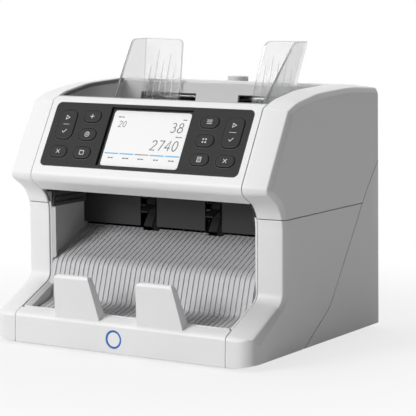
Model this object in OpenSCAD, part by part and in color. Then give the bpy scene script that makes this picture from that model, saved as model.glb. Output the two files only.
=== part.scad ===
// Banknote counter: front-loading hopper on top, display and keys on the sloping head,
// open stacker pocket below, white side covers either side, mechanism between two side plates.
// Millimetres. X to the right, Y to the back, Z up. Origin under the middle of the feet.

/* [Body] */
// Overall width across both side covers
body_width = 250; // [246:1:262]
// Width of each side cover seen from the front
cover_width = 24; // [23:0.5:24.5]
// Depth of the body from its front face to its back edge
body_depth = 223.4; // [221:0.2:230]
// Thickness of the outer walls
wall = 3.2; // [2.9:0.1:3.4]
// Thickness of the flat side of a cover
side_wall = 3; // [2.6:0.1:3.3]
// How far a cover's faces fall back towards its side
crown = 2; // [1:0.2:2.2]
// Width of the bevel round a cover's side, across the side
bevel_width = 2.6; // [2:0.2:3]
// Depth of the same bevel into the faces
bevel_depth = 4.3; // [3:0.1:4.6]
// Visible seam between neighbouring outer pieces
seam_gap = 0.6; // [0.5:0.1:0.8]
// Free gap between pieces that only sit beside each other
fit_gap = 0.3; // [0.2:0.05:0.35]
// Radial clearance of every turning or sliding round fit
running_gap = 0.06; // [0.03:0.01:0.1]

/* [Front and pocket] */
// Height of the base front's upper corner above the skirt line
base_front_height = 20.7; // [19:0.1:21.5]
// Distance the uprights stand behind the base front
upright_set_back = 49.6; // [48:0.2:50.6]
// Height of the horizontal seam between upper and lower covers
cover_seam_height = 107; // [104:0.5:110]
// Height of the stacker fingers' tips
finger_height = 57; // [50:0.5:60]
// Distance the fingers' tips lean in front of the base
finger_reach = 6.6; // [4:0.2:8]
// Width of one finger at its root
finger_width = 43; // [36:0.5:46]
// Free gap between the two fingers at their root
finger_spacing = 36.2; // [30:0.5:44]
// Spacing of the ribs on the stacker plate
rib_pitch = 4.7; // [4.4:0.1:5.6]
// Width of the groove between two ribs
groove_width = 1; // [0.8:0.1:1.4]
// Depth of the grooves
groove_depth = 0.8; // [0.5:0.1:1]
// Diameter of the round badge on the base front
badge_diameter = 15; // [12:0.5:15.5]

/* [Head] */
// Lean of the head's front, degrees from the vertical
head_lean = 29.5; // [28.5:0.1:30.5]
// Distance from the control panel's ends to the side seams
panel_margin = 6; // [4.5:0.25:7]
// Height of the control panel along the slope
panel_height = 57.8; // [57.2:0.1:58.4]
// Distance from the display to the control panel's ends
screen_margin = 58; // [57.5:0.25:60]
// Width of a key
key_width = 17.2; // [15:0.1:17.6]
// Height of a small key
key_height = 10.6; // [9:0.1:11]
// Distance between rows of keys
key_pitch = 16.4; // [15.4:0.1:16.6]
// Distance from the outer keys' middle to the control panel's ends
key_margin = 14.8; // [13.8:0.1:15]
// Distance between the two columns of keys on a side
column_pitch = 23.7; // [22.8:0.1:24]
// Gap round a key
key_gap = 0.4; // [0.3:0.05:0.5]
// Travel of a key when it is pressed
key_travel = 1; // [0.6:0.1:1.1]

/* [Hopper] */
// Width across a guide's main face at the top
guide_face = 40; // [36:0.5:42]
// Outside faces of the guides' wings from the machine's middle
guide_stand = 81; // [78:0.5:82]
// Thickness of the clear guides
guide_sheet = 2.2; // [1.8:0.1:2.6]
// Height of the guides' tops above the skirt line
guide_top = 242; // [232:0.5:246]
// Backward lean of the guides and the hopper's back
guide_lean = 16.5; // [15:0.5:17]
// Outward lean of the guides' wings
wing_flare = 7.4; // [6:0.2:8.4]
// Radius of the guide rail
rail_radius = 4; // [3:0.5:4.5]

/* [Mechanism] */
// Radius of the three drive shafts
shaft_radius = 4; // [3:0.5:4.5]
// Outer radius of the shaft bearings
bearing_radius = 8; // [7:0.5:8.5]
// Radius of the feed drum over its rubber rings
drum_radius = 16; // [14:0.5:16.5]
// Radius of the pick-up wheels
pickup_radius = 12; // [11:0.5:12.5]
// Radius across the vanes of a stacker wheel
vane_radius = 24; // [20:0.5:24.4]
// Thickness of the steel side plates
plate_sheet = 1.5; // [1.2:0.1:1.8]
// Radius of the drive motor
motor_radius = 20; // [16:0.5:21]

/* [Back] */
// Distance from the rear access door to the body's sides
door_margin = 65; // [64:0.5:70]
// Height of the rear access door
door_height = 92; // [80:1:96]
// Radius of the door's hinge pins
hinge_pin_radius = 1.2; // [1:0.1:1.3]
// Radius of a rubber foot
foot_radius = 8; // [7:0.5:10]
// Distance the feet stand out below the skirt
foot_reach = 1.6; // [1.2:0.1:2.4]

/* [Hidden] */
$fn = 32;
half_width = body_width / 2;
seam_x = half_width - cover_width;
cover_x = seam_x + seam_gap / 3;
inner_x = seam_x - 2 * seam_gap / 3;
plate_x = inner_x + fit_gap;
liner_x = inner_x - 2;
pocket_x = liner_x - fit_gap;
panel_width = 2 * (seam_x - panel_margin);
screen_width = panel_width - 2 * screen_margin;
outer_column = panel_width / 2 - key_margin;
inner_column = outer_column - column_pitch;
door_width = body_width - 2 * door_margin;
skirt = 3.4;
datum_z = skirt + foot_reach;
datum_y = -(body_depth - finger_reach) / 2;
arc_steps = 6;
cut = 1;

// Outer corners of the side view as [depth, height, corner radius]
head_top = [57.5, 193.4];
chin_height = 130.3;
chin = [head_top[0] - (head_top[1] - chin_height) * tan(head_lean), chin_height];
back_run = 6.4;
front_corner = [0.5, base_front_height, 5];
low_corner = [upright_set_back, 43.2, 10];
high_corner = [upright_set_back - 0.7, 113.3, 25];
side_view = [
    [0.3, -skirt, 1],
    front_corner,
    low_corner,
    high_corner,
    [chin[0], chin[1], 7],
    [head_top[0], head_top[1], 2],
    [73, 199.3, 60],
    [108, 205, 150],
    [body_depth - 58.4, 207.2, 300],
    [body_depth - back_run, 203.8, 8],
    [body_depth, -skirt, 2]
];

// Region behind the diagonal side seam
seam_top = 147.5;
rear_zone = [
    [70, -12, 0],
    [85.4, 1, 10],
    [127, 27, 40],
    [body_depth - 32.4, 116.7, 60],
    [body_depth + 15.6, seam_top + 22.4, 0],
    [body_depth + 20, -12, 0]
];

// Hopper
floor_front = [82.5, 168];
floor_slope = 0.197;
back_front_y = 157.3;
back_front_z = 203;
guide_slot_low = 188.4;
guide_slot_high = 195.6;
rail_at = [171, 192];
tab_width = 14;
tab_middle = 62;
guide_in = 33;
guide_out = 8;

// Shafts, as [depth, height]
drum_at = [93, 147];
pickup_at = [115.5, 164.6];
stacker_at = [112, 104];
motor_at = [150, 70];
wheel_middle = 32;
wheel_width = 8;
bearing_length = 5;
drum_pulley = 12;
stacker_pulley = 12;
motor_pulley_radius = 8;
wide_pulley = 16;
pickup_pulley = 8;
belt_sheet = 1.2;
belt_width = 6;
inner_belt_x = inner_x + 4.9;
outer_belt_x = inner_belt_x + 7.5;

// Head
panel_sheet = 3;
panel_sink = 0.2;
panel_drop = 2.2;
panel_ledge = 3;
frame_sheet = key_travel + 1.6;
board_sheet = 1.6;
screen_top = 4.7;
screen_bottom = 57;
screen_sink = 2.2;
tall_key_height = key_height + key_pitch;
first_row = 14.1;
row_at = [first_row, first_row + key_pitch, first_row + 2 * key_pitch];
key_rise = 0.5;
key_flange = 1;

// Back
back_angle = atan(back_run / (203.8 + skirt));
door_low = 26;
door_sheet = 4;

function unit(v) = v / norm(v);
function flat(p) = [p[0], p[1]];
function cross_of(a, b) = a[0] * b[1] - a[1] * b[0];
function turn_of(a, b, c) = cross_of(flat(b) - flat(a), flat(c) - flat(b));

// Points of the arc that rounds corner b between neighbours a and c
function corner_arc(a, b, c, n) =
    let (u = unit(flat(a) - flat(b)), v = unit(flat(c) - flat(b)), half = acos(u * v) / 2)
    b[2] < 0.05 ? [flat(b)] :
    let (middle = flat(b) + unit(u + v) * b[2] / sin(half),
         from = flat(b) + u * b[2] / tan(half) - middle,
         to = flat(b) + v * b[2] / tan(half) - middle,
         start = atan2(from[1], from[0]),
         raw = atan2(to[1], to[0]) - start,
         sweep = raw > 180 ? raw - 360 : raw < -180 ? raw + 360 : raw)
    [for (i = [0 : n]) middle + b[2] * [cos(start + sweep * i / n), sin(start + sweep * i / n)]];

function rounded(p, n = arc_steps) = let (m = len(p)) [
    for (k = [0 : m - 1]) each corner_arc(p[(k + m - 1) % m], p[k], p[(k + 1) % m], n)
];

// Corner b moved inwards by d, for an outline that runs clockwise
function inset_corner(a, b, c, d) =
    let (e = unit(flat(b) - flat(a)), f = unit(flat(c) - flat(b)),
         n1 = [e[1], -e[0]], n2 = [f[1], -f[0]],
         move = (n1 + n2) * d / (1 + n1 * n2),
         grow = turn_of(a, b, c) < 0 ? -d : d)
    [b[0] + move[0], b[1] + move[1], b[2] < 0.05 ? 0 : max(b[2] + grow, 0.3)];

function inset(p, d) = let (m = len(p)) [
    for (k = [0 : m - 1]) inset_corner(p[(k + m - 1) % m], p[k], p[(k + 1) % m], d)
];

// A sheet of thickness t on the right-hand side of an open run of corners
function path_side(p, d) = let (m = len(p)) [
    for (k = [0 : m - 1])
        let (e = unit(flat(p[max(k, 1)]) - flat(p[max(k, 1) - 1])),
             f = unit(flat(p[min(k + 1, m - 1)]) - flat(p[min(k, m - 2)])),
             n1 = [e[1], -e[0]], n2 = [f[1], -f[0]],
             move = (n1 + n2) * d / (1 + n1 * n2),
             bend = k == 0 || k == m - 1 ? 0 : turn_of(p[k - 1], p[k], p[k + 1]))
        [p[k][0] + move[0], p[k][1] + move[1],
         p[k][2] < 0.05 ? 0 : max(p[k][2] + (bend < 0 ? -d : d), 0.3)]
];

function backwards(p) = [for (k = [len(p) - 1 : -1 : 0]) p[k]];
function sheet(p, t) = concat(p, backwards(path_side(p, t)));

module placed() {
    translate([0, datum_y, datum_z])
    children();
}

module along_x(x0, x1) {
    translate([x0, 0, 0])
    rotate([90, 0, 90])
    linear_extrude(height = x1 - x0)
    children();
}

module along_y(y0, y1) {
    translate([0, y1, 0])
    rotate([90, 0, 0])
    linear_extrude(height = y1 - y0)
    children();
}

module rod_x(at, r, x0, x1) {
    translate([x0, at[0], at[1]])
    rotate([0, 90, 0])
    cylinder(r = r, h = x1 - x0);
}

module block(x0, x1, y0, y1, z0, z1) {
    translate([x0, y0, z0])
    cube([x1 - x0, y1 - y0, z1 - z0]);
}

module both_sides() {
    children();
    mirror([1, 0, 0])
    children();
}

// Frame on the head's slope: X across, Y up the slope from its top edge, Z outwards
module on_slope() {
    translate([0, head_top[0], head_top[1]])
    rotate([90 - head_lean, 0, 0])
    children();
}

// Frame on the back face: X to the machine's left, Y up, Z outwards
module on_back() {
    translate([0, body_depth, -skirt])
    rotate([back_angle, 0, 0])
    rotate([90, 0, 180])
    children();
}

module round_rect(w, h, r) {
    polygon(rounded([[-w / 2, -h / 2, r], [-w / 2, h / 2, r], [w / 2, h / 2, r], [w / 2, -h / 2, r]]));
}

// Piecewise profile of what a cover's face loses towards its side, as [x, depth]
face_x = half_width - bevel_width;
loss_full = crown + bevel_depth;
beyond = 2;

// Planes the crown and bevel off one straight run of the side view, from a to b and a little more.
// Neighbouring runs start their bevel a little apart, so that their planes never meet in one point.
module edge_cut(a, b, more, apart) {
    e = unit(flat(b) - flat(a));
    bevel_x = face_x - apart;
    start = flat(b) + e * more;
    translate([0, start[0], start[1]])
    rotate([atan2(e[0], -e[1]), 0, 0])
    linear_extrude(height = norm(flat(b) - flat(a)) + 2 * more)
    polygon([
        [seam_x, 0],
        [bevel_x, -crown * (bevel_x - seam_x) / (face_x - seam_x)],
        [half_width + beyond, -crown - bevel_depth * (bevel_width + beyond) / bevel_width],
        [half_width + beyond, 6],
        [seam_x, 6]
    ]);
}

// The two hollow corners of the side view, and the arc that rounds corner k
function is_hollow(k) = k == 2 || k == 3;
function arc_of(k) = corner_arc(side_view[k - 1], side_view[k], side_view[k + 1], arc_steps);
function run_start(k) = is_hollow(k) ? arc_of(k)[arc_steps] : flat(side_view[k]);
function run_end(k) = is_hollow(k) ? arc_of(k)[0] : flat(side_view[k]);

// The same loss along the arc of a hollow corner, chord by chord
chord_turn = 19.4;
bevel_apart = 0.25;
chord_more = loss_full * sin(chord_turn / 2);

module hollow_cuts(k) {
    for (i = [0 : 2 : arc_steps - 2])
        edge_cut(arc_of(k)[i], arc_of(k)[i + 2], chord_more, i == 2 ? 0 : bevel_apart);
}

// Right-hand side of the body as one hollow half shell, open towards the middle
module side_shell() {
    m = len(side_view);
    corner_round = 13;
    under_x = seam_x + 6;
    difference() {
        along_x(cover_x, half_width)
        polygon(rounded(side_view));
        along_x(cover_x - cut, half_width - side_wall)
        polygon(rounded(inset(side_view, wall)));
        for (k = [1 : m - 2])
            edge_cut(run_start(k), run_end(k + 1), chord_more / 2, k > 3 && k % 2 == 0 ? bevel_apart : 0);
        for (k = [2, 3])
            hollow_cuts(k);
        // front corner seen from above
        difference() {
            block(half_width - corner_round, half_width + beyond, -beyond, corner_round, -skirt - cut, 60);
            translate([half_width - corner_round, corner_round + 0.6, -skirt - cut])
            cylinder(r = corner_round, h = 62);
        }
        // underside rises to the outer edge
        along_y(-beyond, body_depth + beyond)
        polygon([
            [under_x, -skirt],
            [half_width + beyond, skirt * beyond / (half_width - under_x)],
            [half_width + beyond, -skirt - cut],
            [under_x, -skirt - cut]
        ]);
    }
}

module upper_cover() {
    difference() {
        side_shell();
        along_x(seam_x - cut, half_width + cut)
        polygon(rounded(inset(rear_zone, -seam_gap / 2)));
        block(seam_x - cut, half_width + cut, -10, body_depth + 10, -10, cover_seam_height + seam_gap / 2);
    }
}

module lower_cover() {
    difference() {
        side_shell();
        along_x(seam_x - cut, half_width + cut)
        polygon(rounded(inset(rear_zone, -seam_gap / 2)));
        block(seam_x - cut, half_width + cut, -10, body_depth + 10, cover_seam_height - seam_gap / 2, 230);
    }
}

// Hollow of a run of corners at the head: outer skin kept between two side views
module skin(x, t) {
    difference() {
        along_x(-x, x)
        polygon(rounded(side_view));
        along_x(-x - cut, x + cut)
        polygon(rounded(inset(side_view, t)));
    }
}

module belt_loop(a, ra, b, rb, x, w, t) {
    d = norm(b - a);
    dir = atan2(b[1] - a[1], b[0] - a[0]);
    lean = acos((ra - rb) / d);
    n = 14;
    function loop(r1, r2) = concat(
        [for (i = [0 : n]) let (g = dir + lean + (360 - 2 * lean) * i / n) a + r1 * [cos(g), sin(g)]],
        [for (i = [0 : n]) let (g = dir - lean + 2 * lean * i / n) b + r2 * [cos(g), sin(g)]]
    );
    difference() {
        along_x(x, x + w)
        polygon(loop(ra + t, rb + t));
        along_x(x - cut, x + w + cut)
        polygon(loop(ra, rb));
    }
}

white = [0.92, 0.92, 0.92];
grey = [0.66, 0.67, 0.68];
dark = [0.27, 0.28, 0.3];
black = [0.06, 0.06, 0.07];
steel = [0.7, 0.71, 0.73];
rubber = [0.12, 0.12, 0.13];

tray_front = 0.5 + wall + fit_gap;
tray_back = body_depth - wall - 0.7;
tray_floor = -skirt + 2.4;
foot_x = inner_x - 16.6;
foot_back = body_depth - 28.4;
foot_places = [[-foot_x, 22], [foot_x, 22], [-foot_x, foot_back], [foot_x, foot_back]];
board_front = body_depth - 115.4;
board_back = body_depth - 37.4;
board_left = -inner_x + 8.6;
board_right = inner_x - 80.6;
supply_left = board_right + 12;
supply_right = inner_x - 6.6;

module base_tray() {
    color(white)
    placed()
    difference() {
        union() {
            block(-inner_x, inner_x, tray_front, tray_back, -skirt, tray_floor);
            both_sides()
            block(liner_x, inner_x, tray_front, tray_back, tray_floor - cut, 10);
            for (x = [board_left + 4, -34, board_right - 4])
                for (y = [board_front + 4, board_back - 6])
                    translate([x, y, tray_floor - cut])
                    cylinder(r = 3, h = 7);
        }
        for (p = foot_places)
            translate([p[0], p[1], -skirt - cut])
            cylinder(r = foot_radius + fit_gap, h = cut + 1);
        for (k = [0 : 6])
            block(-30, 30, 60 + 6 * k, 62.5 + 6 * k, -skirt - cut, tray_floor + cut);
    }
}

module rubber_feet() {
    color(rubber)
    placed()
    for (p = foot_places)
        translate([p[0], p[1], -skirt - foot_reach])
        cylinder(r = foot_radius, h = foot_reach + 1);
}

finger_draft = 5;

module finger() {
    intersection() {
        along_x(0, seam_x)
        polygon(rounded([
            [2.6, 19, 0],
            [-finger_reach, finger_height - 0.6, 2.5],
            [-finger_reach + 5.4, finger_height + 1, 2.3],
            [10.6, 26, 0],
            [10.6, 21, 0]
        ]));
        along_y(-finger_reach - cut, 12)
        polygon(rounded([
            [finger_spacing / 2 - 0.6, 18, 0],
            [finger_spacing / 2 + finger_draft, finger_height + 1, 5],
            [finger_spacing / 2 + finger_width - finger_draft, finger_height + 1, 5],
            [finger_spacing / 2 + finger_width + 0.6, 18, 0]
        ]));
    }
}

badge_at = [-3, 8.3];
badge_sink = 0.8;

module front_bezel() {
    color(white)
    placed()
    difference() {
        union() {
            along_x(-inner_x, inner_x)
            polygon(rounded([
                [0.3, -skirt, 1],
                [0.5, base_front_height, 5],
                [11.4, base_front_height + 5, 2],
                [11.4, 20, 0],
                [0.5 + wall, 17, 2],
                [0.5 + wall, -skirt, 0]
            ]));
            along_x(-pocket_x, pocket_x)
            polygon([[10.4, 25], [11.4, 25.6], [23.2, 23], [23.2, 20.6], [11.4, 22.6], [10.4, 22.6]]);
            both_sides()
            finger();
        }
        translate([badge_at[0], 0.5 + badge_sink, badge_at[1]])
        rotate([90, 0, 0])
        cylinder(r = badge_diameter / 2 + 0.1, h = 5);
    }
}

module badge_disc() {
    color([0.1, 0.42, 0.78])
    placed()
    translate([badge_at[0], 0.5 + badge_sink, badge_at[1]])
    rotate([90, 0, 0])
    cylinder(r = badge_diameter / 2, h = badge_sink);
}

// Top surface of the stacker plate from its raised back to the front edge
plate_run = [[23.6, 23, 0], [41.8, 28.15, 6], [51.8, 61.2, 14], [101, 84, 0]];
plate_thickness = 2.2;
rib_count = floor(pocket_x / rib_pitch);

module stacker_plate() {
    color(grey)
    placed()
    difference() {
        along_x(-pocket_x, pocket_x)
        polygon(rounded_run(sheet(plate_run, plate_thickness)));
        for (k = [-rib_count : rib_count])
            along_x(k * rib_pitch - groove_width / 2, k * rib_pitch + groove_width / 2)
            polygon(rounded_run(concat(plate_run_up(), backwards(path_side(plate_run, groove_depth)))));
        both_sides()
        rod_x(stacker_at, vane_radius + 1.5, wheel_middle - wheel_width, wheel_middle + wheel_width);
    }
}

function rounded_run(p) = rounded(p, 4);
function plate_run_up() = path_side(plate_run, -0.4);

module pocket_liner() {
    color([0.78, 0.79, 0.8])
    placed()
    difference() {
        along_x(liner_x, inner_x)
        intersection() {
            polygon(rounded(inset(side_view, 0.8)));
            polygon([[12.4, 14], [12.4, 60], [40, 117], [102, 117], [102, 14]]);
        }
        rod_x(bar_places[0], bar_radius + fit_gap, liner_x - cut, inner_x + cut);
    }
}

module left_pocket_liner() {
    mirror([1, 0, 0])
    pocket_liner();
}

module right_pocket_liner() {
    pocket_liner();
}

hood_top = 121.4;
hood_wall = 1.8;
hood_back = 98;

module pocket_hood() {
    color(black)
    placed()
    difference() {
        union() {
            block(-pocket_x, pocket_x, 40, 82, hood_top - hood_wall, hood_top);
            block(-pocket_x, pocket_x, hood_back - hood_wall, hood_back, 86.4, 128);
            both_sides() {
                block(pocket_x - hood_wall, pocket_x, 49.6, hood_back, 104, hood_top);
                block(pocket_x - hood_wall, inner_x, 60, hood_back, hood_top - 3, hood_top);
                for (k = [0, 1, 2])
                    block(pocket_x - hood_wall - 0.8, pocket_x - hood_wall + 0.2,
                        52, 92, 105.5 + 4.5 * k, 107.5 + 4.5 * k);
            }
        }
        both_sides()
        rod_x(stacker_at, vane_radius + 1.5, wheel_middle - wheel_width, wheel_middle + wheel_width);
    }
}

module head_cover() {
    color(white)
    placed()
    difference() {
        union() {
            intersection() {
                skin(inner_x, wall);
                along_x(-inner_x - cut, inner_x + cut)
                polygon([[0, 118.6], [0, 215], [64, 215], [64, 185], [38.4, 150], [38.4, 118.6]]);
            }
            // flanges beside the side plates
            both_sides()
            along_x(liner_x, inner_x)
            intersection() {
                polygon(rounded(inset(side_view, wall - 0.6)));
                polygon([[10, 121.8], [10, 215], [63.4, 215], [63.4, 188], [37.8, 143], [37.8, 121.8]]);
            }
            on_slope()
            translate([-inner_x, -panel_drop - panel_height - 3, -wall - frame_sheet])
            cube([2 * inner_x, panel_height + 4, frame_sheet + 0.4]);
        }
        on_slope() {
            translate([0, -panel_drop - panel_height / 2, -wall])
            linear_extrude(height = 8)
            round_rect(panel_width + 2 * fit_gap, panel_height + 2 * fit_gap, 4.8);
            translate([0, -panel_drop - panel_height / 2, -wall - frame_sheet - cut])
            linear_extrude(height = 8)
            round_rect(panel_width - 2 * panel_ledge, panel_height - 2 * panel_ledge + 3, 3);
        }
    }
}

// Every key as [x, distance down the slope, height]
tall_at = (row_at[0] + row_at[1]) / 2;
tall_r = 6;
small_r = key_height / 2;

module key_hole(x, s, h, r) {
    translate([x, -s, -8])
    linear_extrude(height = 12)
    round_rect(key_width + 2 * key_gap, h + 2 * key_gap, r + key_gap);
}

module control_panel() {
    color(dark)
    placed()
    on_slope()
    difference() {
        translate([0, -panel_drop - panel_height / 2, -panel_sink - panel_sheet])
        linear_extrude(height = panel_sheet)
        round_rect(panel_width, panel_height, 4.5);
        translate([-screen_width / 2 - 3, -screen_bottom, -8])
        cube([screen_width + 4.5, screen_bottom - screen_top, 12]);
        both_sides() {
            key_hole(outer_column, tall_at, tall_key_height, tall_r);
            key_hole(outer_column, row_at[2], key_height, small_r);
            for (s = row_at)
                key_hole(inner_column, s, key_height, small_r);
        }
    }
}

module display_screen() {
    color([0.93, 0.94, 0.95])
    placed()
    on_slope()
    translate([-screen_width / 2 - 3 + fit_gap, -screen_bottom + fit_gap, -wall - frame_sheet])
    cube([
        screen_width + 4.5 - 2 * fit_gap,
        screen_bottom - screen_top - 2 * fit_gap,
        wall + frame_sheet - screen_sink
    ]);
}

module keypad_board() {
    color([0.1, 0.32, 0.2])
    placed()
    on_slope() {
        translate([-panel_width / 2, -panel_drop - panel_height, -wall - frame_sheet - board_sheet])
        cube([panel_width, panel_height, board_sheet]);
        both_sides() {
            for (s = row_at)
                key_switch(inner_column, s);
            key_switch(outer_column, tall_at);
            key_switch(outer_column, row_at[2]);
        }
    }
}

switch_height = 0.9;
switch_radius = 3;

module key_switch(x, s) {
    translate([x, -s, -wall - frame_sheet - 0.1])
    cylinder(r = switch_radius, h = switch_height + 0.1);
}

flange_top = -panel_sink - panel_sheet - fit_gap;

module key(x, s, h, r) {
    color(dark)
    placed()
    on_slope()
    translate([x, -s, 0])
    difference() {
        union() {
            translate([0, 0, flange_top - 0.9])
            linear_extrude(height = key_rise - flange_top + 0.9)
            round_rect(key_width, h, r);
            translate([0, 0, flange_top - 0.9])
            linear_extrude(height = 0.9)
            round_rect(key_width + 2 * key_flange, h + 2 * key_flange, r + key_flange);
        }
        translate([0, 0, flange_top - 2])
        cylinder(r = switch_radius + 0.6, h = 2.2);
    }
}

module key_left_start() {
    key(-outer_column, tall_at, tall_key_height, tall_r);
}

module key_left_low() {
    key(-outer_column, row_at[2], key_height, small_r);
}

module key_left_top() {
    key(-inner_column, row_at[0], key_height, small_r);
}

module key_left_middle() {
    key(-inner_column, row_at[1], key_height, small_r);
}

module key_left_bottom() {
    key(-inner_column, row_at[2], key_height, small_r);
}

module key_right_start() {
    key(outer_column, tall_at, tall_key_height, tall_r);
}

module key_right_low() {
    key(outer_column, row_at[2], key_height, small_r);
}

module key_right_top() {
    key(inner_column, row_at[0], key_height, small_r);
}

module key_right_middle() {
    key(inner_column, row_at[1], key_height, small_r);
}

module key_right_bottom() {
    key(inner_column, row_at[2], key_height, small_r);
}

module left_upper_cover() {
    color(white)
    placed()
    mirror([1, 0, 0])
    upper_cover();
}

module right_upper_cover() {
    color(white)
    placed()
    upper_cover();
}

module left_lower_cover() {
    color(white)
    placed()
    mirror([1, 0, 0])
    lower_cover();
}

module right_lower_cover() {
    color(white)
    placed()
    lower_cover();
}

door_axis_depth = door_sheet / 2;
knuckle_radius = door_sheet / 2;
pin_reach = 3;
inlet_x = -door_width / 2 - 22;
inlet_y = 42;
inlet_w = 28;
inlet_h = 48;
ports_x = -inlet_x;
ports_w = 26;
ports_h = 30;
screw_x = half_width - 12;
screw_places = [[-screw_x, 22], [screw_x, 22], [-screw_x, 138], [screw_x, 138]];
screw_head = 3;

module door_opening() {
    translate([-door_width / 2 - 0.5, door_low - knuckle_radius - 0.5, -door_sheet - cut])
    cube([door_width + 1, door_height + knuckle_radius + 1, door_sheet + 2 * cut]);
}

module rear_housing() {
    color(white)
    placed()
    difference() {
        union() {
            intersection() {
                union() {
                    both_sides()
                    side_shell();
                    skin(cover_x + cut, wall);
                }
                along_x(-half_width, half_width)
                polygon(rounded(inset(rear_zone, seam_gap / 2)));
                block(-half_width, half_width, 0, body_depth + 10, -10, seam_top + 20);
            }
            on_back()
            translate([-door_width / 2 - 8, door_low - 10, -door_sheet - 0.6])
            cube([door_width + 16, door_height + 18, 2]);
        }
        // room for the base tray between the flanks
        block(-cover_x, cover_x, 0, tray_back + fit_gap, -10, 14);
        // the deck closes the top
        block(-cover_x, cover_x, 0, body_depth - 20, 100, 230);
        block(-half_width - cut, half_width + cut, 0, body_depth + 10, seam_top, 230);
        on_back() {
            door_opening();
            both_sides()
            translate([door_width / 2 + 0.4 - cut, door_low, -door_axis_depth])
            rotate([0, 90, 0])
            cylinder(r = hinge_pin_radius + running_gap, h = pin_reach + cut + 0.4);
            translate([inlet_x - inlet_w / 2 - fit_gap, inlet_y - inlet_h / 2 - fit_gap, -8])
            cube([inlet_w + 2 * fit_gap, inlet_h + 2 * fit_gap, 12]);
            translate([ports_x - ports_w / 2 - fit_gap, inlet_y - ports_h / 2 - fit_gap, -8])
            cube([ports_w + 2 * fit_gap, ports_h + 2 * fit_gap, 12]);
            for (k = [0 : 3])
                translate([-46, 128 + 5 * k, -8])
                cube([92, 2.4, 12]);
            for (p = screw_places)
                translate([p[0], p[1], -8])
                cylinder(r = 1.6 + 0.2, h = 12);
            for (p = screw_places)
                translate([p[0], p[1], -1.6])
                cylinder(r = screw_head + 0.3, h = 6);
        }
    }
}

module rear_door() {
    color(white)
    placed()
    on_back()
    difference() {
        union() {
            translate([-door_width / 2, door_low, -door_sheet])
            cube([door_width, door_height, door_sheet]);
            translate([-door_width / 2, door_low, -door_axis_depth])
            rotate([0, 90, 0])
            cylinder(r = knuckle_radius, h = door_width);
            translate([-door_width / 2 - pin_reach, door_low, -door_axis_depth])
            rotate([0, 90, 0])
            cylinder(r = hinge_pin_radius, h = door_width + 2 * pin_reach);
        }
        // finger notch at the top edge
        translate([-14, door_low + door_height - 6, -1.6])
        cube([28, 7, 3]);
    }
}

module housing_screws() {
    color(steel)
    placed()
    on_back()
    for (p = screw_places) {
        translate([p[0], p[1], -1.6])
        cylinder(r = screw_head, h = 1.4);
        translate([p[0], p[1], -9])
        cylinder(r = 1.6, h = 7.6);
    }
}

deck_front = back_front_y + 3.2;
knob_at = [0, (deck_front + body_depth - back_run) / 2 + 1.25];
knob_floor = 203.2;
knob_stem = 3;
knob_radius = 9;
knob_top = 209.4;

module top_deck() {
    color(white)
    placed()
    difference() {
        union() {
            intersection() {
                skin(inner_x, wall);
                block(-inner_x, inner_x, deck_front, body_depth + 2, seam_top + seam_gap, 215);
            }
            both_sides()
            along_x(liner_x, inner_x)
            intersection() {
                polygon(rounded(inset(side_view, wall - 0.6)));
                polygon([
                    [deck_front, 199],
                    [deck_front, 215],
                    [body_depth + 16.6, 215],
                    [body_depth + 16.6, 160],
                    [body_depth - 17.4, 160],
                    [body_depth - 17.4, 199]
                ]);
            }
            translate([knob_at[0], knob_at[1], 198])
            cylinder(r = 13, h = 6);
        }
        translate([knob_at[0], knob_at[1], knob_floor])
        cylinder(r = knob_radius + 1, h = 10);
        translate([knob_at[0], knob_at[1], 190])
        cylinder(r = knob_stem + running_gap, h = 20);
    }
}

module gap_knob() {
    color(grey)
    placed()
    translate([knob_at[0], knob_at[1], 0])
    difference() {
        union() {
            translate([0, 0, knob_floor + fit_gap])
            cylinder(r = knob_radius, h = knob_top - knob_floor - fit_gap);
            translate([0, 0, 196])
            cylinder(r = knob_stem, h = 10);
        }
        translate([-1, knob_radius - 4, knob_top - 0.8])
        cube([2, 6, 2]);
    }
}

floor_back_y = back_front_y - (back_front_z - 181.2) * tan(guide_lean);
floor_back_z = floor_front[1] + floor_slope * (floor_back_y - floor_front[0]);
tray_sheet = 2.4;
cheek_drop = 3.6;

module hopper_tray() {
    color(grey)
    placed()
    difference() {
        union() {
            along_x(-inner_x, inner_x)
            polygon(rounded([
                [65, 196.2, 0],
                [66.4, 196.4, 0.8],
                [76, 167, 0],
                [73.6, 167, 0],
                [65, 192, 0]
            ]));
            along_x(-inner_x, inner_x)
            polygon(rounded_run(sheet([
                [floor_front[0], floor_front[1], 0],
                [floor_back_y, floor_back_z, 3],
                [back_front_y + 0.4, back_front_z + 1.4, 0.6],
                [deck_front - seam_gap, back_front_z + 1.5, 0]
            ], tray_sheet)));
            both_sides()
            along_x(liner_x, inner_x)
            intersection() {
                polygon(rounded(inset(side_view, cheek_drop)));
                polygon([[66, 220], [66, 194], [74.4, 167.4], [82.4, 166.2], [floor_back_y, floor_back_z - 1],
                    [back_front_y, back_front_z], [back_front_y, 220]]);
            }
        }
        // slots for the pick-up wheels
        both_sides()
        rod_x(pickup_at, pickup_radius + 1.2, wheel_middle - wheel_width / 2 - 1.2,
            wheel_middle + wheel_width / 2 + 1.2);
        // room for the pick-up shaft's bearings
        both_sides()
        rod_x(pickup_at, bearing_radius + fit_gap, bearing_in - fit_gap, inner_x + cut);
        // slots for the guides' tabs
        both_sides()
        block(tab_middle - tab_width / 2 - guide_in - 1, tab_middle + tab_width / 2 + guide_out + 1,
            140, 170, guide_slot_low, guide_slot_high);
    }
}

module hopper_strip() {
    color([0.4, 0.41, 0.42])
    placed()
    along_x(liner_x, inner_x)
    intersection() {
        difference() {
            polygon(rounded(inset(side_view, 0.5)));
            polygon(rounded(inset(side_view, cheek_drop - 0.1)));
        }
        polygon([[67.4, 180], [67.4, 230], [back_front_y - 0.6, 230], [back_front_y - 0.6, 180]]);
    }
}

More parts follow.
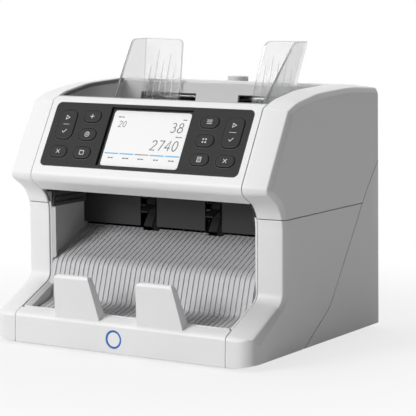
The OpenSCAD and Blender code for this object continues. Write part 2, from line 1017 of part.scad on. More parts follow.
module left_hopper_strip() {
    mirror([1, 0, 0])
    hopper_strip();
}

module right_hopper_strip() {
    hopper_strip();
}

guide_front_y = back_front_y - 1 - guide_sheet / cos(guide_lean);
guide_low = 182.6;
wing_low = guide_low - 5.2;
wing_sheet = guide_sheet / cos(wing_flare);

function lean_y(z) = guide_front_y + (z - back_front_z) * tan(guide_lean);
function wing_x(z) = guide_stand - (guide_top - z) * tan(wing_flare);

module note_guide() {
    inner_top = guide_stand - guide_face;
    color([0.85, 0.9, 0.93, 0.4])
    placed()
    difference() {
        union() {
            // main face behind the notes
            intersection() {
                along_x(0, guide_stand)
                polygon([
                    [lean_y(guide_low), guide_low],
                    [lean_y(guide_top), guide_top],
                    [lean_y(guide_top) + guide_sheet, guide_top],
                    [lean_y(guide_low) + guide_sheet, guide_low]
                ]);
                along_y(100, 200)
                polygon(rounded([
                    [inner_top - 5, guide_low, 2],
                    [inner_top - 4, 206, 30],
                    [inner_top, guide_top - 0.6, 5.5],
                    [guide_stand, guide_top, 0],
                    [wing_x(guide_low), guide_low, 0]
                ]));
            }
            // ribs across the main face
            for (k = [0 : 3])
                intersection() {
                    along_x(inner_top + 4 + 6 * k, inner_top + 5 + 6 * k)
                    polygon([
                        [lean_y(196) - 0.7, 196],
                        [lean_y(guide_top - 6) - 0.7, guide_top - 6],
                        [lean_y(guide_top - 6) + 0.5, guide_top - 6],
                        [lean_y(196) + 0.5, 196]
                    ]);
                    block(0, 100, 100, 200, 180, guide_top - 6 - 2 * k);
                }
            // wing along the notes' ends
            intersection() {
                along_x(0, guide_stand + cut)
                polygon(rounded([
                    [lean_y(guide_low) + guide_sheet, guide_low, 0],
                    [112, wing_low, 3],
                    [101, 186, 5],
                    [lean_y(guide_top) - 20, guide_top, 6],
                    [lean_y(guide_top) + guide_sheet, guide_top, 0]
                ]));
                along_y(90, 200)
                polygon([
                    [wing_x(wing_low - cut) - wing_sheet, wing_low - cut],
                    [wing_x(guide_top + cut) - wing_sheet, guide_top + cut],
                    [wing_x(guide_top + cut), guide_top + cut],
                    [wing_x(wing_low - cut), wing_low - cut]
                ]);
            }
            // tab and carriage on the rail
            block(tab_middle - tab_width / 2, tab_middle + tab_width / 2, lean_y(192) + 1, 170, 190, 194);
            block(tab_middle - tab_width / 2 - 4, tab_middle + tab_width / 2 + 4,
                rail_at[0] - 7, rail_at[0] + 7, rail_at[1] - 7, rail_at[1] + 7);
        }
        rod_x(rail_at, rail_radius + running_gap, tab_middle - 20, tab_middle + 20);
    }
}

module left_note_guide() {
    mirror([1, 0, 0])
    note_guide();
}

module right_note_guide() {
    note_guide();
}

module guide_rail() {
    color(steel)
    placed()
    rod_x(rail_at, rail_radius, -inner_x, inner_x);
}

bearing_in = plate_x - 2.4;
bearing_out = bearing_in + bearing_length;
shaft_places = [drum_at, pickup_at, stacker_at];

module shaft_bearings() {
    color(steel)
    placed()
    both_sides()
    for (p = shaft_places)
        difference() {
            rod_x(p, bearing_radius, bearing_in, bearing_out);
            rod_x(p, shaft_radius + running_gap, bearing_in - cut, bearing_out + cut);
        }
}

plate_back = body_depth - 11.4;

module side_plate() {
    color(steel)
    placed()
    difference() {
        along_x(plate_x, plate_x + plate_sheet)
        intersection() {
            polygon(rounded(inset(side_view, wall + fit_gap)));
            polygon([[4, 0.2], [4, 210], [plate_back, 210], [plate_back, 0.2]]);
        }
        for (p = shaft_places)
            rod_x(p, bearing_radius, plate_x - cut, plate_x + plate_sheet + cut);
        rod_x(motor_at, 7, plate_x - cut, plate_x + plate_sheet + cut);
    }
}

module left_side_plate() {
    mirror([1, 0, 0])
    side_plate();
}

module right_side_plate() {
    side_plate();
}

bar_radius = 4;
bar_places = [[75, 40], [body_depth - 31.4, 60], [body_depth - 35.4, 150]];

module tie_bars() {
    color(steel)
    placed()
    for (p = bar_places)
        rod_x(p, bar_radius, -plate_x, plate_x);
}

module pickup_shaft() {
    color(steel)
    placed() {
        rod_x(pickup_at, shaft_radius, -bearing_out - 1, inner_belt_x + belt_width + 1);
        rod_x(pickup_at, pickup_pulley, inner_belt_x, inner_belt_x + belt_width);
    }
}

module pickup_wheels() {
    color(rubber)
    placed()
    both_sides()
    difference() {
        rod_x(pickup_at, pickup_radius, wheel_middle - wheel_width / 2, wheel_middle + wheel_width / 2);
        rod_x(pickup_at, shaft_radius, wheel_middle - wheel_width, wheel_middle + wheel_width);
    }
}

module drum_shaft() {
    color(steel)
    placed() {
        rod_x(drum_at, shaft_radius, -outer_belt_x - belt_width - 1, inner_belt_x + belt_width + 1);
        rod_x(drum_at, drum_pulley, -outer_belt_x - belt_width, -outer_belt_x);
        rod_x(drum_at, pickup_pulley, inner_belt_x, inner_belt_x + belt_width);
    }
}

drum_half = 62;

module feed_drum() {
    color(rubber)
    placed()
    difference() {
        union() {
            rod_x(drum_at, drum_radius - 2.5, -drum_half, drum_half);
            for (x = [-50, -18, 6, 38])
                rod_x(drum_at, drum_radius, x, x + 12);
        }
        rod_x(drum_at, shaft_radius, -drum_half - cut, drum_half + cut);
    }
}

module separator_beam() {
    color(black)
    placed() {
        block(-inner_x, inner_x, 58, 70, 138, 152);
        block(-20, 20, 69, drum_at[0] - drum_radius - 0.8, 140, 151);
    }
}

module sensor_beam() {
    color(dark)
    placed() {
        block(-inner_x, inner_x, 66, 78, 124, 133);
        block(12.6 - inner_x, inner_x - 12.6, 77, 79.4, 125, 130.6);
    }
}

module stacker_shaft() {
    color(steel)
    placed() {
        rod_x(stacker_at, shaft_radius, -outer_belt_x - belt_width - 1, bearing_out + 1);
        rod_x(stacker_at, stacker_pulley, -outer_belt_x - belt_width, -outer_belt_x);
        rod_x(stacker_at, wide_pulley, -inner_belt_x - belt_width, -inner_belt_x);
    }
}

vane_count = 10;

module stacker_wheels() {
    color([0.25, 0.27, 0.3])
    placed()
    both_sides()
    difference() {
        translate([wheel_middle - wheel_width / 2, stacker_at[0], stacker_at[1]])
        rotate([0, 90, 0])
        union() {
            cylinder(r = 12, h = wheel_width);
            intersection() {
                for (k = [0 : vane_count - 1])
                    rotate([0, 0, 360 / vane_count * k])
                    translate([10, 2, 0])
                    rotate([0, 0, 38])
                    cube([24, 1.4, wheel_width]);
                cylinder(r = vane_radius, h = wheel_width);
            }
        }
        rod_x(stacker_at, shaft_radius, wheel_middle - wheel_width, wheel_middle + wheel_width);
    }
}

motor_face = -inner_x;
motor_length = 56;

module drive_motor() {
    color([0.3, 0.31, 0.33])
    placed()
    difference() {
        union() {
            rod_x(motor_at, motor_radius, motor_face, motor_face + motor_length);
            rod_x(motor_at, 7, motor_face + motor_length - cut, motor_face + motor_length + 3);
        }
        rod_x(motor_at, 2.5 + running_gap, motor_face - cut, motor_face + 14);
    }
}

module motor_pulley() {
    color(steel)
    placed() {
        rod_x(motor_at, 2.5, -inner_belt_x - belt_width - 1, motor_face + 12);
        rod_x(motor_at, motor_pulley_radius, -inner_belt_x - belt_width, -inner_belt_x);
    }
}

module drive_belts() {
    color(rubber)
    placed() {
        belt_loop(motor_at, motor_pulley_radius + fit_gap, stacker_at, wide_pulley + fit_gap,
            -inner_belt_x - belt_width + 0.5, belt_width - 1, belt_sheet);
        belt_loop(stacker_at, stacker_pulley + fit_gap, drum_at, drum_pulley + fit_gap,
            -outer_belt_x - belt_width + 0.5, belt_width - 1, belt_sheet);
        belt_loop(drum_at, pickup_pulley + fit_gap, pickup_at, pickup_pulley + fit_gap,
            inner_belt_x + 0.5, belt_width - 1, belt_sheet);
    }
}

board_low = tray_floor + 6;

module main_board() {
    color([0.1, 0.32, 0.2])
    placed() {
        block(board_left, board_right, board_front, board_back, board_low, board_low + board_sheet);
        translate([0, board_front, board_low + board_sheet - 0.1]) {
            block(-60, -36, 22, 46, 0, 2.5);
            block(-16, 6, 18, 32, 0, 3.5);
        }
        for (x = [board_left + 12, board_left + 22, -10])
            translate([x, board_back - 16, board_low + board_sheet - 0.1])
            cylinder(r = 4, h = 12);
    }
}

module power_supply() {
    color(steel)
    placed()
    difference() {
        block(supply_left, supply_right, board_front, board_back, tray_floor, 34);
        for (k = [0 : 6])
            translate([0, board_front + 10 + 9 * k, 0])
            block(supply_left + 8, supply_right - 8, 0, 3, 32.5, 36);
    }
}

rocker_y = 12.5;

module power_inlet() {
    color(black)
    placed()
    on_back()
    translate([inlet_x, inlet_y, 0])
    difference() {
        union() {
            translate([-inlet_w / 2, -inlet_h / 2, -20])
            cube([inlet_w, inlet_h, 20.4]);
            translate([-inlet_w / 2 - 1.6, -inlet_h / 2 - 1.6, 0.1])
            cube([inlet_w + 3.2, inlet_h + 3.2, 1]);
        }
        // socket for the mains lead, with its three blades
        translate([0, -10, -14])
        difference() {
            linear_extrude(height = 20)
            polygon([[-12, -7.5], [-12, 5], [-9, 8], [9, 8], [12, 5], [12, -7.5]]);
            for (x = [-6, 0, 6])
                translate([x - 0.8, x == 0 ? 1 : -3, -1])
                cube([1.6, 4, 11]);
        }
        // room for the rocker
        translate([-10.4, rocker_y - 6.9, -8])
        cube([20.8, 13.8, 12]);
        translate([-12.4, rocker_y, -3])
        rotate([0, 90, 0])
        cylinder(r = 1.4 + running_gap, h = 24.8);
    }
}

module power_rocker() {
    color([0.12, 0.12, 0.13])
    placed()
    on_back()
    translate([inlet_x, inlet_y + rocker_y, -3]) {
        difference() {
            along_x(-10, 10)
            polygon([[-5.6, -3.4], [-5.6, 5.4], [0, 4.4], [5.6, 5.4], [5.6, -3.4]]);
            translate([-1, 2, 4])
            cube([2, 2, 3]);
        }
        rotate([0, 90, 0])
        translate([0, 0, -12])
        cylinder(r = 1.4, h = 24);
    }
}

module data_ports() {
    color([0.2, 0.2, 0.22])
    placed()
    on_back()
    translate([ports_x, inlet_y, 0])
    difference() {
        translate([-ports_w / 2, -ports_h / 2, -12])
        cube([ports_w, ports_h, 12]);
        translate([-7, 3, -9])
        cube([14, 6.4, 12]);
        translate([-6.5, -12, -9])
        cube([13, 11.5, 12]);
    }
}

base_tray();
front_bezel();
badge_disc();
stacker_plate();
left_pocket_liner();
right_pocket_liner();
pocket_hood();
head_cover();
control_panel();
display_screen();
keypad_board();
key_left_start();
key_left_low();
key_left_top();
key_left_middle();
key_left_bottom();
key_right_start();
key_right_low();
key_right_top();
key_right_middle();
key_right_bottom();
left_upper_cover();
right_upper_cover();
left_lower_cover();
right_lower_cover();
rear_housing();
rear_door();
top_deck();
hopper_tray();
left_hopper_strip();
right_hopper_strip();
left_note_guide();
right_note_guide();
guide_rail();
pickup_shaft();
pickup_wheels();
drum_shaft();
feed_drum();
separator_beam();
sensor_beam();
stacker_shaft();
stacker_wheels();
left_side_plate();
right_side_plate();
tie_bars();
shaft_bearings();
drive_motor();
motor_pulley();
drive_belts();
main_board();
power_supply();
power_inlet();
power_rocker();
data_ports();
gap_knob();
rubber_feet();
housing_screws();
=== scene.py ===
import math

import bmesh
import bpy
from mathutils import Matrix, Vector


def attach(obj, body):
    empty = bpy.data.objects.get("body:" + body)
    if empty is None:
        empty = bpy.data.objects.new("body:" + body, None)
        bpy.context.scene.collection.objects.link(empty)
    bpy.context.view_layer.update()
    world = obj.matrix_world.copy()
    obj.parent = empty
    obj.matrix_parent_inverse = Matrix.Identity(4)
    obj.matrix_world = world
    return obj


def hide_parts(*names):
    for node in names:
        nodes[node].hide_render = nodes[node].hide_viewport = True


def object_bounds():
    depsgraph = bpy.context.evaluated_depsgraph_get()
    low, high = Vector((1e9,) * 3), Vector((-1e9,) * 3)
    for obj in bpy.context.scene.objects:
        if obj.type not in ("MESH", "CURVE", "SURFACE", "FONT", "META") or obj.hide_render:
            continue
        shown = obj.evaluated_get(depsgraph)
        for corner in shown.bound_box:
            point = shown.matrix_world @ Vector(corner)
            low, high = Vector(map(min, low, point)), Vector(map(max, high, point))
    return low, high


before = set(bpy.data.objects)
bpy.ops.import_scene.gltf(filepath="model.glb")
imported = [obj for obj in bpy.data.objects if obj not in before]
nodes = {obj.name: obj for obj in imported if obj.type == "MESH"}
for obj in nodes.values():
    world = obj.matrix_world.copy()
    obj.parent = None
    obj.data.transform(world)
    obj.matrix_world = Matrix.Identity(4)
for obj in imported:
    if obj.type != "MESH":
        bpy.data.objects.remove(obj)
cad_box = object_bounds()
scene = bpy.context.scene

# Sizes in mm and degrees. A side point is [depth from the front edge, height over the side's lower edge].
HALF = 1000 * cad_box[1][0]  # half the body's width
DATUM_Y = -108.4  # origin of the side points in the CAD frame
DATUM_Z = 5.0
SKIRT = 3.4  # how far the front skirt reaches below the side's lower edge
LEAN = 29.5  # angle of the head's slope from upright
SEAM_Z = 107.0  # seam between the upper and the lower cover
SEAM_HALF = 0.3  # half the width of a seam

# Corners of the side outline as [depth, height, radius], clockwise from the front foot
SIDE = [
    (0.3, -SKIRT, 1), (0.5, 20.7, 5), (49.6, 43.2, 10), (48.9, 113.3, 25), (21.8, 130.3, 7),
    (57.5, 193.4, 2), (73, 199.3, 60), (108, 205, 150), (165, 207.2, 300), (217, 203.8, 8),
    (223.4, -SKIRT, 2),
]
POCKET_FLOOR, THROAT, NOSE, BROW, BACK_TOP, BACK_FOOT = 2, 3, 4, 5, 9, 10

# Corners of the diagonal rear seam from its top to its foot, and one more that closes them to an outline
REAR = [(239, 169.9, 0), (191, 116.7, 60), (127, 27, 40), (85.4, 1, 10), (70, -12, 0)]
REAR_CLOSE = (243.4, -12, 0)


def at(x, y, z):
    """A side point at x as a point of the CAD frame, in metres."""
    return Vector((x / 1000, (y + DATUM_Y) / 1000, (z + DATUM_Z) / 1000))


def slope(x, s, h):
    """A point on the head's slope: s down from its top edge, h out of it."""
    a = math.radians(LEAN)
    y, z = SIDE[BROW][:2]
    return at(x, y - s * math.sin(a) - h * math.cos(a), z - s * math.cos(a) + h * math.sin(a))


def back(x, y, h):
    """A point on the back face: y up from its lower edge, h out of it, x as in the CAD frame."""
    (top_y, top_z, _), (foot_y, foot_z, _) = SIDE[BACK_TOP], SIDE[BACK_FOOT]
    a = math.atan((foot_y - top_y) / (top_z - foot_z))
    return at(x, foot_y - y * math.sin(a) + h * math.cos(a), foot_z + y * math.cos(a) + h * math.sin(a))


# Outlines
SHARP = 0.02  # a corner with a smaller radius isn't rounded
LEAST_RADIUS = 0.3  # of a rounded corner after an inset
STRAIGHT = 1e-6  # a corner that turns less than this is a straight edge


def unit(v):
    """A 2D vector of length 1."""
    n = math.hypot(v[0], v[1])
    return (v[0] / n, v[1] / n)


def corner(a, b, c, n):
    """Points of the arc in n steps that rounds corner b, between a and c, with the radius b[2]."""
    if b[2] < SHARP:
        return [(b[0], b[1])]
    u = unit((a[0] - b[0], a[1] - b[1]))
    v = unit((c[0] - b[0], c[1] - b[1]))
    half = math.acos(max(-1, min(1, u[0] * v[0] + u[1] * v[1]))) / 2
    w = unit((u[0] + v[0], u[1] + v[1]))
    away, along = b[2] / math.sin(half), b[2] / math.tan(half)
    mx, my = b[0] + w[0] * away, b[1] + w[1] * away
    start = math.atan2(b[1] + u[1] * along - my, b[0] + u[0] * along - mx)
    end = math.atan2(b[1] + v[1] * along - my, b[0] + v[0] * along - mx)
    sweep = (end - start + math.pi) % (2 * math.pi) - math.pi
    return [(mx + b[2] * math.cos(start + sweep * i / n), my + b[2] * math.sin(start + sweep * i / n))
            for i in range(n + 1)]


def rounded(p, n=8):
    """A closed outline from corners [x, y, radius]."""
    out = []
    for k in range(len(p)):
        out += corner(p[k - 1], p[k], p[(k + 1) % len(p)], n)
    return out


def inset(p, d):
    """Clockwise corners p with the edge after corner k moved inwards by d[k], or every edge by d."""
    m = len(p)
    d = d if isinstance(d, list) else [d] * m
    out = []
    for k in range(m):
        a, b, c = p[k - 1], p[k], p[(k + 1) % m]
        e, f = unit((b[0] - a[0], b[1] - a[1])), unit((c[0] - b[0], c[1] - b[1]))
        da, db = d[k - 1], d[k]
        n1, n2 = (e[1], -e[0]), (f[1], -f[0])
        det = n1[0] * n2[1] - n1[1] * n2[0]
        if abs(det) < STRAIGHT:
            mx, my = n1[0] * da, n1[1] * da
        else:
            mx = (da * n2[1] - db * n1[1]) / det
            my = (n1[0] * db - n2[0] * da) / det
        turn = e[0] * f[1] - e[1] * f[0]
        r = b[2] + (-(da + db) / 2 if turn < 0 else (da + db) / 2)
        out.append((b[0] + mx, b[1] + my, 0 if b[2] < SHARP else max(r, LEAST_RADIUS)))
    return out


def box_corners(w, h, r, cx=0, cy=0):
    """A rounded rectangle's corners, clockwise."""
    return [(cx + i * w / 2, cy + j * h / 2, r) for i, j in ((-1, -1), (-1, 1), (1, 1), (1, -1))]


def arc(cx, cy, rx, ry, a, b, n=14):
    """Points of an ellipse from angle a to angle b in n steps."""
    turns = [math.radians(a + (b - a) * i / n) for i in range(n + 1)]
    return [(cx + rx * math.cos(t), cy + ry * math.sin(t)) for t in turns]


def circle(r, n):
    """n points of a circle round the origin."""
    return [(r * math.cos(2 * math.pi * i / n), r * math.sin(2 * math.pi * i / n)) for i in range(n)]


# Shapes; a shape is a list of vertices and a list of faces
MITRE = 0.45  # a stroke's turn sharper than this is cut short


def loft(rings, ends=True):
    """A shape through rings of equal length; ends closes its first and last ring."""
    verts = [p for r in rings for p in r]
    m = len(rings[0])
    faces = []
    for i in range(len(rings) - 1):
        for j in range(m):
            k = (j + 1) % m
            faces.append((i * m + j, i * m + k, (i + 1) * m + k, (i + 1) * m + j))
    if ends:
        faces.append(tuple(range(m))[::-1])
        faces.append(tuple((len(rings) - 1) * m + j for j in range(m)))
    return verts, faces


def ribbon(points, width, place, low, high, closed=False):
    """A flat stroke along 2D points, standing from low to high; place(x, y, h) puts it in space."""
    n = len(points)
    left, right = [], []
    for i in range(n):
        a = points[i - 1] if closed or i else points[i]
        c = points[(i + 1) % n] if closed or i < n - 1 else points[i]
        b = points[i]
        e = unit((b[0] - a[0], b[1] - a[1])) if a != b else None
        f = unit((c[0] - b[0], c[1] - b[1])) if c != b else e
        e = e or f
        nx, ny = -(e[1] + f[1]), e[0] + f[0]
        k = math.hypot(nx, ny) or 1
        nx, ny = nx / k, ny / k
        reach = width / 2 / max(MITRE, nx * -e[1] + ny * e[0])
        left.append((b[0] + nx * reach, b[1] + ny * reach))
        right.append((b[0] - nx * reach, b[1] - ny * reach))
    verts, faces = [], []
    for i in range(n):
        for q, h in ((left[i], high), (right[i], high), (right[i], low), (left[i], low)):
            verts.append(place(q[0], q[1], h))
    for i in range(n if closed else n - 1):
        j = (i + 1) % n
        for k in range(4):
            m = (k + 1) % 4
            faces.append((4 * i + k, 4 * i + m, 4 * j + m, 4 * j + k))
    if not closed:
        faces.append((0, 3, 2, 1))
        faces.append((4 * n - 4, 4 * n - 3, 4 * n - 2, 4 * n - 1))
    return verts, faces


def plate_of(outline, place, low, high):
    """A flat plate with a 2D outline, standing from low to high."""
    return loft([[place(x, y, h) for x, y in outline] for h in (low, high)])


def joined(shapes):
    """Several shapes as one."""
    verts, faces = [], []
    for v, f in shapes:
        k = len(verts)
        verts += v
        faces += [tuple(i + k for i in g) for g in f]
    return verts, faces


# Objects and pieces
WELD = 2e-6  # vertices closer than this become one, in metres
BEVEL_ANGLE = 35  # edges sharper than this get a bevel
FLAT_ANGLE = 0.2  # faces that differ less than this become one before the bevel
RUN_ANGLE = 20  # steps of a curved run smaller than this are shaded as one
RUN_WELD = 1e-5


def tidy_mesh(mesh):
    """Welds the vertices and turns the normals outwards."""
    bm = bmesh.new()
    bm.from_mesh(mesh)
    bmesh.ops.remove_doubles(bm, verts=bm.verts, dist=WELD)
    bmesh.ops.recalc_face_normals(bm, faces=bm.faces)
    bm.to_mesh(mesh)
    bm.free()


def raw(name, shape):
    """An object from a shape, not a piece yet."""
    mesh = bpy.data.meshes.new(name)
    mesh.from_pydata([tuple(v) for v in shape[0]], [], shape[1])
    mesh.validate()
    tidy_mesh(mesh)
    obj = bpy.data.objects.new(name, mesh)
    scene.collection.objects.link(obj)
    return obj


def set_materials(obj, materials):
    """Gives an object one material or a list of them."""
    obj.data.materials.clear()
    for m in materials if isinstance(materials, list) else [materials]:
        obj.data.materials.append(m)


def dress(obj, materials, body, replaces=None, smooth=35):
    """Turns an object into a piece that rides on a body."""
    set_materials(obj, materials)
    tidy_mesh(obj.data)
    obj.data.polygons.foreach_set("use_smooth", [True] * len(obj.data.polygons))
    obj.data.set_sharp_from_angle(angle=math.radians(smooth))
    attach(obj, body)
    if replaces:
        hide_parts(replaces)
    return obj


def make(name, shape, materials, body, replaces=None):
    """A piece from a shape."""
    return dress(raw(name, shape), materials, body, replaces)


def cut(obj, *tools, kind="DIFFERENCE"):
    """Applies booleans with the tools, and removes them."""
    for t in tools:
        m = obj.modifiers.new("cut", "BOOLEAN")
        m.operation = kind
        m.solver = "EXACT"
        m.object = t
    bpy.context.view_layer.update()
    done = bpy.data.meshes.new_from_object(obj.evaluated_get(bpy.context.evaluated_depsgraph_get()))
    obj.modifiers.clear()
    old = obj.data
    obj.data = done
    bpy.data.meshes.remove(old)
    for t in tools:
        data = t.data
        bpy.data.objects.remove(t)
        bpy.data.meshes.remove(data)
    return obj


def mirrored(obj, name):
    """A copy of the object for the machine's left."""
    mesh = obj.data.copy()
    mesh.transform(Matrix.Scale(-1, 4, (1, 0, 0)))
    mesh.flip_normals()
    other = bpy.data.objects.new(name, mesh)
    scene.collection.objects.link(other)
    return other


def even_normals(obj, keep_sharp, weight=50):
    """Lets the large faces decide how an object is shaded."""
    n = obj.modifiers.new("normals", "WEIGHTED_NORMAL")
    n.keep_sharp = keep_sharp
    n.weight = weight


def edge(obj, width, flat=False):
    """Rounds the sharp edges of an object, and keeps its flat faces flat."""
    obj.modifiers.new("weld", "WELD").merge_threshold = WELD
    if flat:
        d = obj.modifiers.new("flat", "DECIMATE")
        d.decimate_type = "DISSOLVE"
        d.angle_limit = math.radians(FLAT_ANGLE)
        d.delimit = {"MATERIAL"}
    b = obj.modifiers.new("bevel", "BEVEL")
    b.width = width / 1000
    b.segments = 2
    b.limit_method = "ANGLE"
    b.angle_limit = math.radians(BEVEL_ANGLE)
    b.use_clamp_overlap = True
    b.miter_outer = "MITER_ARC"
    even_normals(obj, False, 60)


def smooth_run(obj):
    """Shades a curved run of flat faces as one, and keeps the sharper edges."""
    obj.data.polygons.foreach_set("use_smooth", [True] * len(obj.data.polygons))
    obj.modifiers.new("weld", "WELD").merge_threshold = RUN_WELD
    obj.modifiers.new("split", "EDGE_SPLIT").split_angle = math.radians(RUN_ANGLE)
    even_normals(obj, False)


# Materials
GRAIN_DEPTH = 0.00006  # of the moulded surface, in metres


def srgb(v, tint=(1, 1, 1)):
    """A grey of 0 to 255, tinted, as a linear colour."""
    shares = [v / 255 * t for t in tint]
    return tuple(c / 12.92 if c <= 0.04045 else ((c + 0.055) / 1.055) ** 2.4 for c in shares) + (1,)


def noise(nt, coordinates, scale, detail, roughness=0.5):
    """A noise texture's strength, between 0 and 1."""
    n = nt.nodes.new("ShaderNodeTexNoise")
    n.inputs["Scale"].default_value = scale
    n.inputs["Detail"].default_value = detail
    n.inputs["Roughness"].default_value = roughness
    nt.links.new(coordinates, n.inputs["Vector"])
    return n.outputs["Fac"]


def material(name, base, rough, spread=0.03, grain=900, bump=0.15, metal=0.0, ior=1.46, mottle=60,
             stretch=(1, 1, 1), rough_spread=0.06, specular=0.5):
    """A moulded or painted finish: slow colour drift, fine grain in bump and roughness."""
    m = bpy.data.materials.new(name)
    m.use_nodes = True
    nt = m.node_tree
    shader = nt.nodes["Principled BSDF"]
    shader.inputs["Metallic"].default_value = metal
    shader.inputs["IOR"].default_value = ior
    shader.inputs["Specular IOR Level"].default_value = specular
    place = nt.nodes.new("ShaderNodeTexCoord")
    stretched = nt.nodes.new("ShaderNodeMapping")
    stretched.inputs["Scale"].default_value = stretch
    nt.links.new(place.outputs["Object"], stretched.inputs["Vector"])
    colour = nt.nodes.new("ShaderNodeMix")
    colour.data_type = "RGBA"
    colour.inputs["A"].default_value = tuple(max(0, c * (1 - spread)) for c in base[:3]) + (1,)
    colour.inputs["B"].default_value = tuple(min(1, c * (1 + spread)) for c in base[:3]) + (1,)
    nt.links.new(noise(nt, stretched.outputs["Vector"], mottle, 3), colour.inputs["Factor"])
    nt.links.new(colour.outputs["Result"], shader.inputs["Base Color"])
    fine = noise(nt, stretched.outputs["Vector"], grain, 4, 0.6)
    roughness = nt.nodes.new("ShaderNodeMapRange")
    roughness.inputs["To Min"].default_value = max(0.02, rough - rough_spread)
    roughness.inputs["To Max"].default_value = min(1, rough + rough_spread)
    nt.links.new(fine, roughness.inputs["Value"])
    nt.links.new(roughness.outputs["Result"], shader.inputs["Roughness"])
    relief = nt.nodes.new("ShaderNodeBump")
    relief.inputs["Strength"].default_value = bump
    relief.inputs["Distance"].default_value = GRAIN_DEPTH
    nt.links.new(fine, relief.inputs["Height"])
    nt.links.new(relief.outputs["Normal"], shader.inputs["Normal"])
    return m


def clear_plastic(name, base, through, rough=0.08, ior=1.3):
    """A clear finish; through is the share of light that passes."""
    m = material(name, base, rough, spread=0.006, grain=420, bump=0.05, ior=ior, rough_spread=0.04)
    m.node_tree.nodes["Principled BSDF"].inputs["Transmission Weight"].default_value = through
    return m


COOL = (1, 1, 1.01)
WHITE = material("white_plastic", srgb(232), 0.42, spread=0.012, grain=1600, bump=0.22, mottle=25)
WHITE_DEEP = material("white_plastic_inner", srgb(222), 0.55, spread=0.02, grain=1200, bump=0.3, mottle=30)
LIGHT_GREY = material("light_grey_plastic", srgb(184), 0.5, spread=0.02, grain=1400, bump=0.25, mottle=30)
CHEEK = material("pocket_cheek", srgb(84), 0.5, spread=0.04, grain=1500, bump=0.3, mottle=40)
LINER = material("liner_plastic", srgb(206), 0.5, spread=0.02, grain=1400, bump=0.25, mottle=30)
GREY = material("grey_plastic", srgb(196, COOL), 0.48, spread=0.02, grain=1400, bump=0.25, mottle=30)
# a lighter grey for the floors of the stacker plate's grooves: painted light that lifts their shade
GREY_PAINTED_LIGHT = material("grey_plastic_groove_painted_light", srgb(214, COOL), 0.6, grain=1400, bump=0.3, mottle=30)
BLACK = material("black_plastic", srgb(26), 0.5, spread=0.12, grain=1100, bump=0.35, mottle=40)
PANEL = material("panel_plastic", srgb(36), 0.5, spread=0.04, grain=2200, bump=0.3, mottle=40, specular=0.2)
KEY = material("key_plastic", srgb(32), 0.46, spread=0.04, grain=2400, bump=0.3, specular=0.22)
# near black for the rings round the keys and the panel: painted shade in the gaps, darker than the panel
GROOVE = material("panel_groove_painted_shade", srgb(14), 0.5, spread=0.1, grain=1500, bump=0.3)
LEGEND = material("legend_print", srgb(222), 0.55, grain=2500, bump=0.2)
DARK_STRIP = material("strip_plastic", srgb(112), 0.5, spread=0.04, grain=1500, bump=0.3)
STEEL = material("turned_steel", srgb(196), 0.28, spread=0.05, bump=0.12, metal=1.0, stretch=(0.05, 1, 1))
PLATE = material("plated_sheet", srgb(188), 0.38, spread=0.08, grain=700, bump=0.12, metal=1.0, mottle=90)
RUBBER = material("rubber", srgb(38), 0.78, spread=0.1, grain=1500, bump=0.5)
BOARD = material("circuit_board", srgb(60, (0.35, 1.6, 0.75)), 0.4, spread=0.18, grain=1500, bump=0.3,
                 mottle=260)
SUPPLY = material("zinc_case", srgb(176), 0.42, spread=0.12, grain=500, bump=0.1, metal=1.0, mottle=120)
MOTOR = material("motor_paint", srgb(52), 0.4, spread=0.08, grain=1200, bump=0.25)
BADGE = material("badge_blue", srgb(190, (0.14, 0.56, 1.0)), 0.3, spread=0.04, grain=1500)
BADGE_WHITE = material("badge_white", srgb(236), 0.35, spread=0.02, grain=1500)
SCREEN = material("display_face", srgb(240), 0.3, spread=0.006, grain=2600, bump=0.05, mottle=20)
SCREEN_BLACK = material("display_frame", srgb(16), 0.25, spread=0.1, grain=2000, bump=0.1)
DIGIT = material("display_digits", srgb(74), 0.35, spread=0.05, grain=2600, bump=0.05)
BAR_BLUE = material("display_bars", srgb(222, (0.42, 0.78, 1.0)), 0.35, grain=2600, bump=0.05)
BAR_GREY = material("display_bar_grey", srgb(150), 0.35, grain=2600, bump=0.05)
PORT = material("port_metal", srgb(170), 0.3, spread=0.06, bump=0.1, metal=1.0)
RED = material("rocker_red", srgb(190, (1, 0.16, 0.14)), 0.3, spread=0.05, grain=1500)
CLEAR = clear_plastic("clear_guide", srgb(231), 0.97, ior=1.14)
# a darker, less clear copy of the guides' clear plastic for their rims: painted shade along the edges
CLEAR_RIM_SHADE = clear_plastic("clear_guide_rim_painted_shade", srgb(196), 0.8)
CLEAR_RIB = clear_plastic("clear_guide_rib", srgb(238), 0.8, rough=0.25)

# Side covers
COVER_X = 101.2  # inner edge of the covers
WALL = 3.2
LIP_W = 0.9  # rounding of the inner edge
LIP_D = 0.8
BEVEL_W = 2.6  # bevel along the flat side
BEVEL_D = 4.3
FACE_X = HALF - BEVEL_W
CROWN = 2.0  # how far the faces curve back up to the bevel
CROWN_LINEAR = 0.55  # share of the crown that is a straight fall
CROWN_END = 0.13  # fall per mm where the bevel begins
BLEND = 0.6  # half the width of the rounding between face and bevel
SIDE_ROUND_W = 0.4  # rounding between bevel and flat side
SIDE_ROUND_D = 0.45
SEAM_ROUND = 0.5  # rounding of the seam edges on the flat side
CORNER_X = 112  # middle of the front corner's rounding, seen from above
CORNER_Y = 13.6
CORNER_R = HALF - CORNER_X
UNDER_X = 107  # from here the lower edge rises outwards
BASE_TOP = 60  # above the base the front corner isn't rounded
ARC_STEPS = 14
SEAM_STEPS = 10
AHEAD, BEHIND = -20, 300  # depths in front of and behind the body
PARALLEL = 1e-12  # lines that turn less than this don't cross
SLACK = 1e-9  # share of a line by which a crossing may miss its end
SHELL_EASE = 0.5  # rounding of the shell's corners where a seam begins or ends, and of the core's
CORE_EASE = 0.01
EASE_PULL = 0.4  # how far the middle of such a rounding stays towards its corner
RUN_CLEAR = 0.9  # steps of the outline and of the seam left free beside such a corner
SEAM_CLEAR = 0.2

